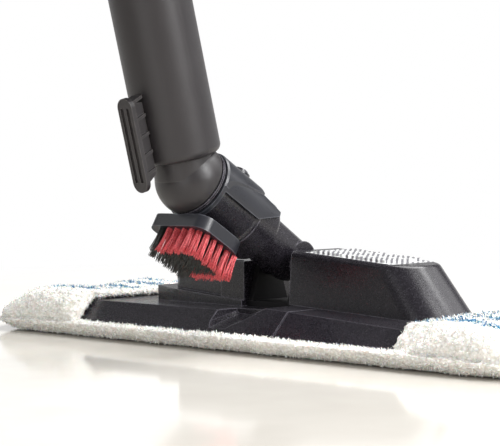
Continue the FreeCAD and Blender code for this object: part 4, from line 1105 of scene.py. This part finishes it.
@dataclass(frozen=True)
class Studio:
    """Pale polished floor, white surroundings and soft lamps."""

    floor_size: float = 14.0
    floor_drop: float = 0.0002
    floor_colour: str = "#dedad2"
    floor_cloud: str = "#d2cdc5"
    floor_roughness: float = 0.09
    cloud_mm: float = 90.0
    fade_from: float = 0.32
    fade_to: float = 0.85
    world_fill: float = 0.40
    world_shine: float = 0.16
    backdrop: Point = (-0.69, 0.72, 0.0)
    backdrop_top: tuple[float, float] = (0.10, 0.30)
    backdrop_side: tuple[float, float] = (-0.35, 0.45)

    def build(self) -> None:
        """Builds the floor, the world and the lamps."""
        self.floor()
        self.world()
        for softbox in SOFTBOXES:
            softbox.build()

    def floor(self) -> None:
        """Lays the polished floor."""
        half = self.floor_size / 2
        corners = [(-half, -half, 0), (half, -half, 0), (half, half, 0), (-half, half, 0)]
        floor = link_mesh("floor", corners, [(0, 1, 2, 3)])
        floor.location.z = -self.floor_drop
        floor.data.materials.append(self.floor_material())

    def floor_material(self) -> bpy.types.Material:
        """Polished pale tile: blurred reflections, faint cloudiness, and white away from the mop."""
        material, tree = new_tree("stage_polished_tile")
        cloud = speckle(tree, self.cloud_mm, 3.0)
        share = spread(tree, cloud, 0.0, 1.0)
        shader = add_node(tree, "BsdfPrincipled", inputs={
            "Base Color": blend_colour(tree, share, linear(self.floor_colour), linear(self.floor_cloud)),
            "Roughness": spread(tree, cloud, self.floor_roughness - 0.02, self.floor_roughness + 0.02),
            "IOR": 1.34,
        })
        away = add_node(tree, "VectorMath", {"operation": "LENGTH"}, {0: own_place(tree)}).outputs["Value"]
        far = eased(tree, away, self.fade_from, self.fade_to)
        seen = math_node(tree, "MULTIPLY", far, add_node(tree, "LightPath").outputs["Is Camera Ray"])
        glow = add_node(tree, "Emission", inputs={"Color": (1, 1, 1, 1), "Strength": 1.0})
        both = add_node(tree, "MixShader", inputs={0: seen, 1: shader.outputs[0], 2: glow.outputs[0]})
        add_node(tree, "OutputMaterial", inputs={"Surface": both.outputs[0]})
        return material

    def world(self) -> None:
        """White to the camera; for reflections a lit backdrop cloth on one side, dim elsewhere."""
        world = bpy.data.worlds.new("studio_white")
        bpy.context.scene.world = world
        world.use_nodes = True
        tree = world.node_tree
        tree.nodes.clear()
        ray = add_node(tree, "LightPath").outputs
        direction = add_node(tree, "TexCoord").outputs["Generated"]
        height = add_node(tree, "SeparateXYZ", inputs={0: direction}).outputs["Z"]
        behind = add_node(tree, "VectorMath", {"operation": "DOT_PRODUCT"},
                          {0: direction, 1: self.backdrop}).outputs["Value"]
        cloth = math_node(tree, "MULTIPLY", eased(tree, height, *self.backdrop_top, 1.0, 0.0),
                          eased(tree, behind, *self.backdrop_side))
        shine = spread(tree, cloth, self.world_shine, 1.0, 0.0, 1.0)
        indirect = blend_level(tree, ray["Is Glossy Ray"], self.world_fill, shine)
        seen = math_node(tree, "MAXIMUM", ray["Is Camera Ray"], ray["Is Transmission Ray"])
        level = blend_level(tree, seen, indirect, 1.0)
        back = add_node(tree, "Background", inputs={"Color": (1, 1, 1, 1), "Strength": level})
        add_node(tree, "OutputWorld", inputs={"Surface": back.outputs[0]})


def main() -> None:
    """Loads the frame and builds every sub-assembly."""
    logging.basicConfig(level=logging.INFO, format="%(message)s")
    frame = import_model()
    bpy.context.scene.view_settings.view_transform = "Standard"
    wardrobe = Wardrobe.stitched()
    for part in frame["record"]["subparts"]:
        wardrobe.dress(frame["nodes"][part["node"]], Slot(part["material_slot"]))
        LOG.info("%s wears %s", part["node"], part["material_slot"])
    MopPad().build(wardrobe)
    Brush("bristles_red", Slot.RED, strands=40, seed=4).build(wardrobe, frame["nodes"])
    Brush("bristles_black", Slot.BLACK, strands=34, seed=9).build(wardrobe, frame["nodes"])
    Camera().build()
    Studio().build()


if __name__ == "__main__":
    main()
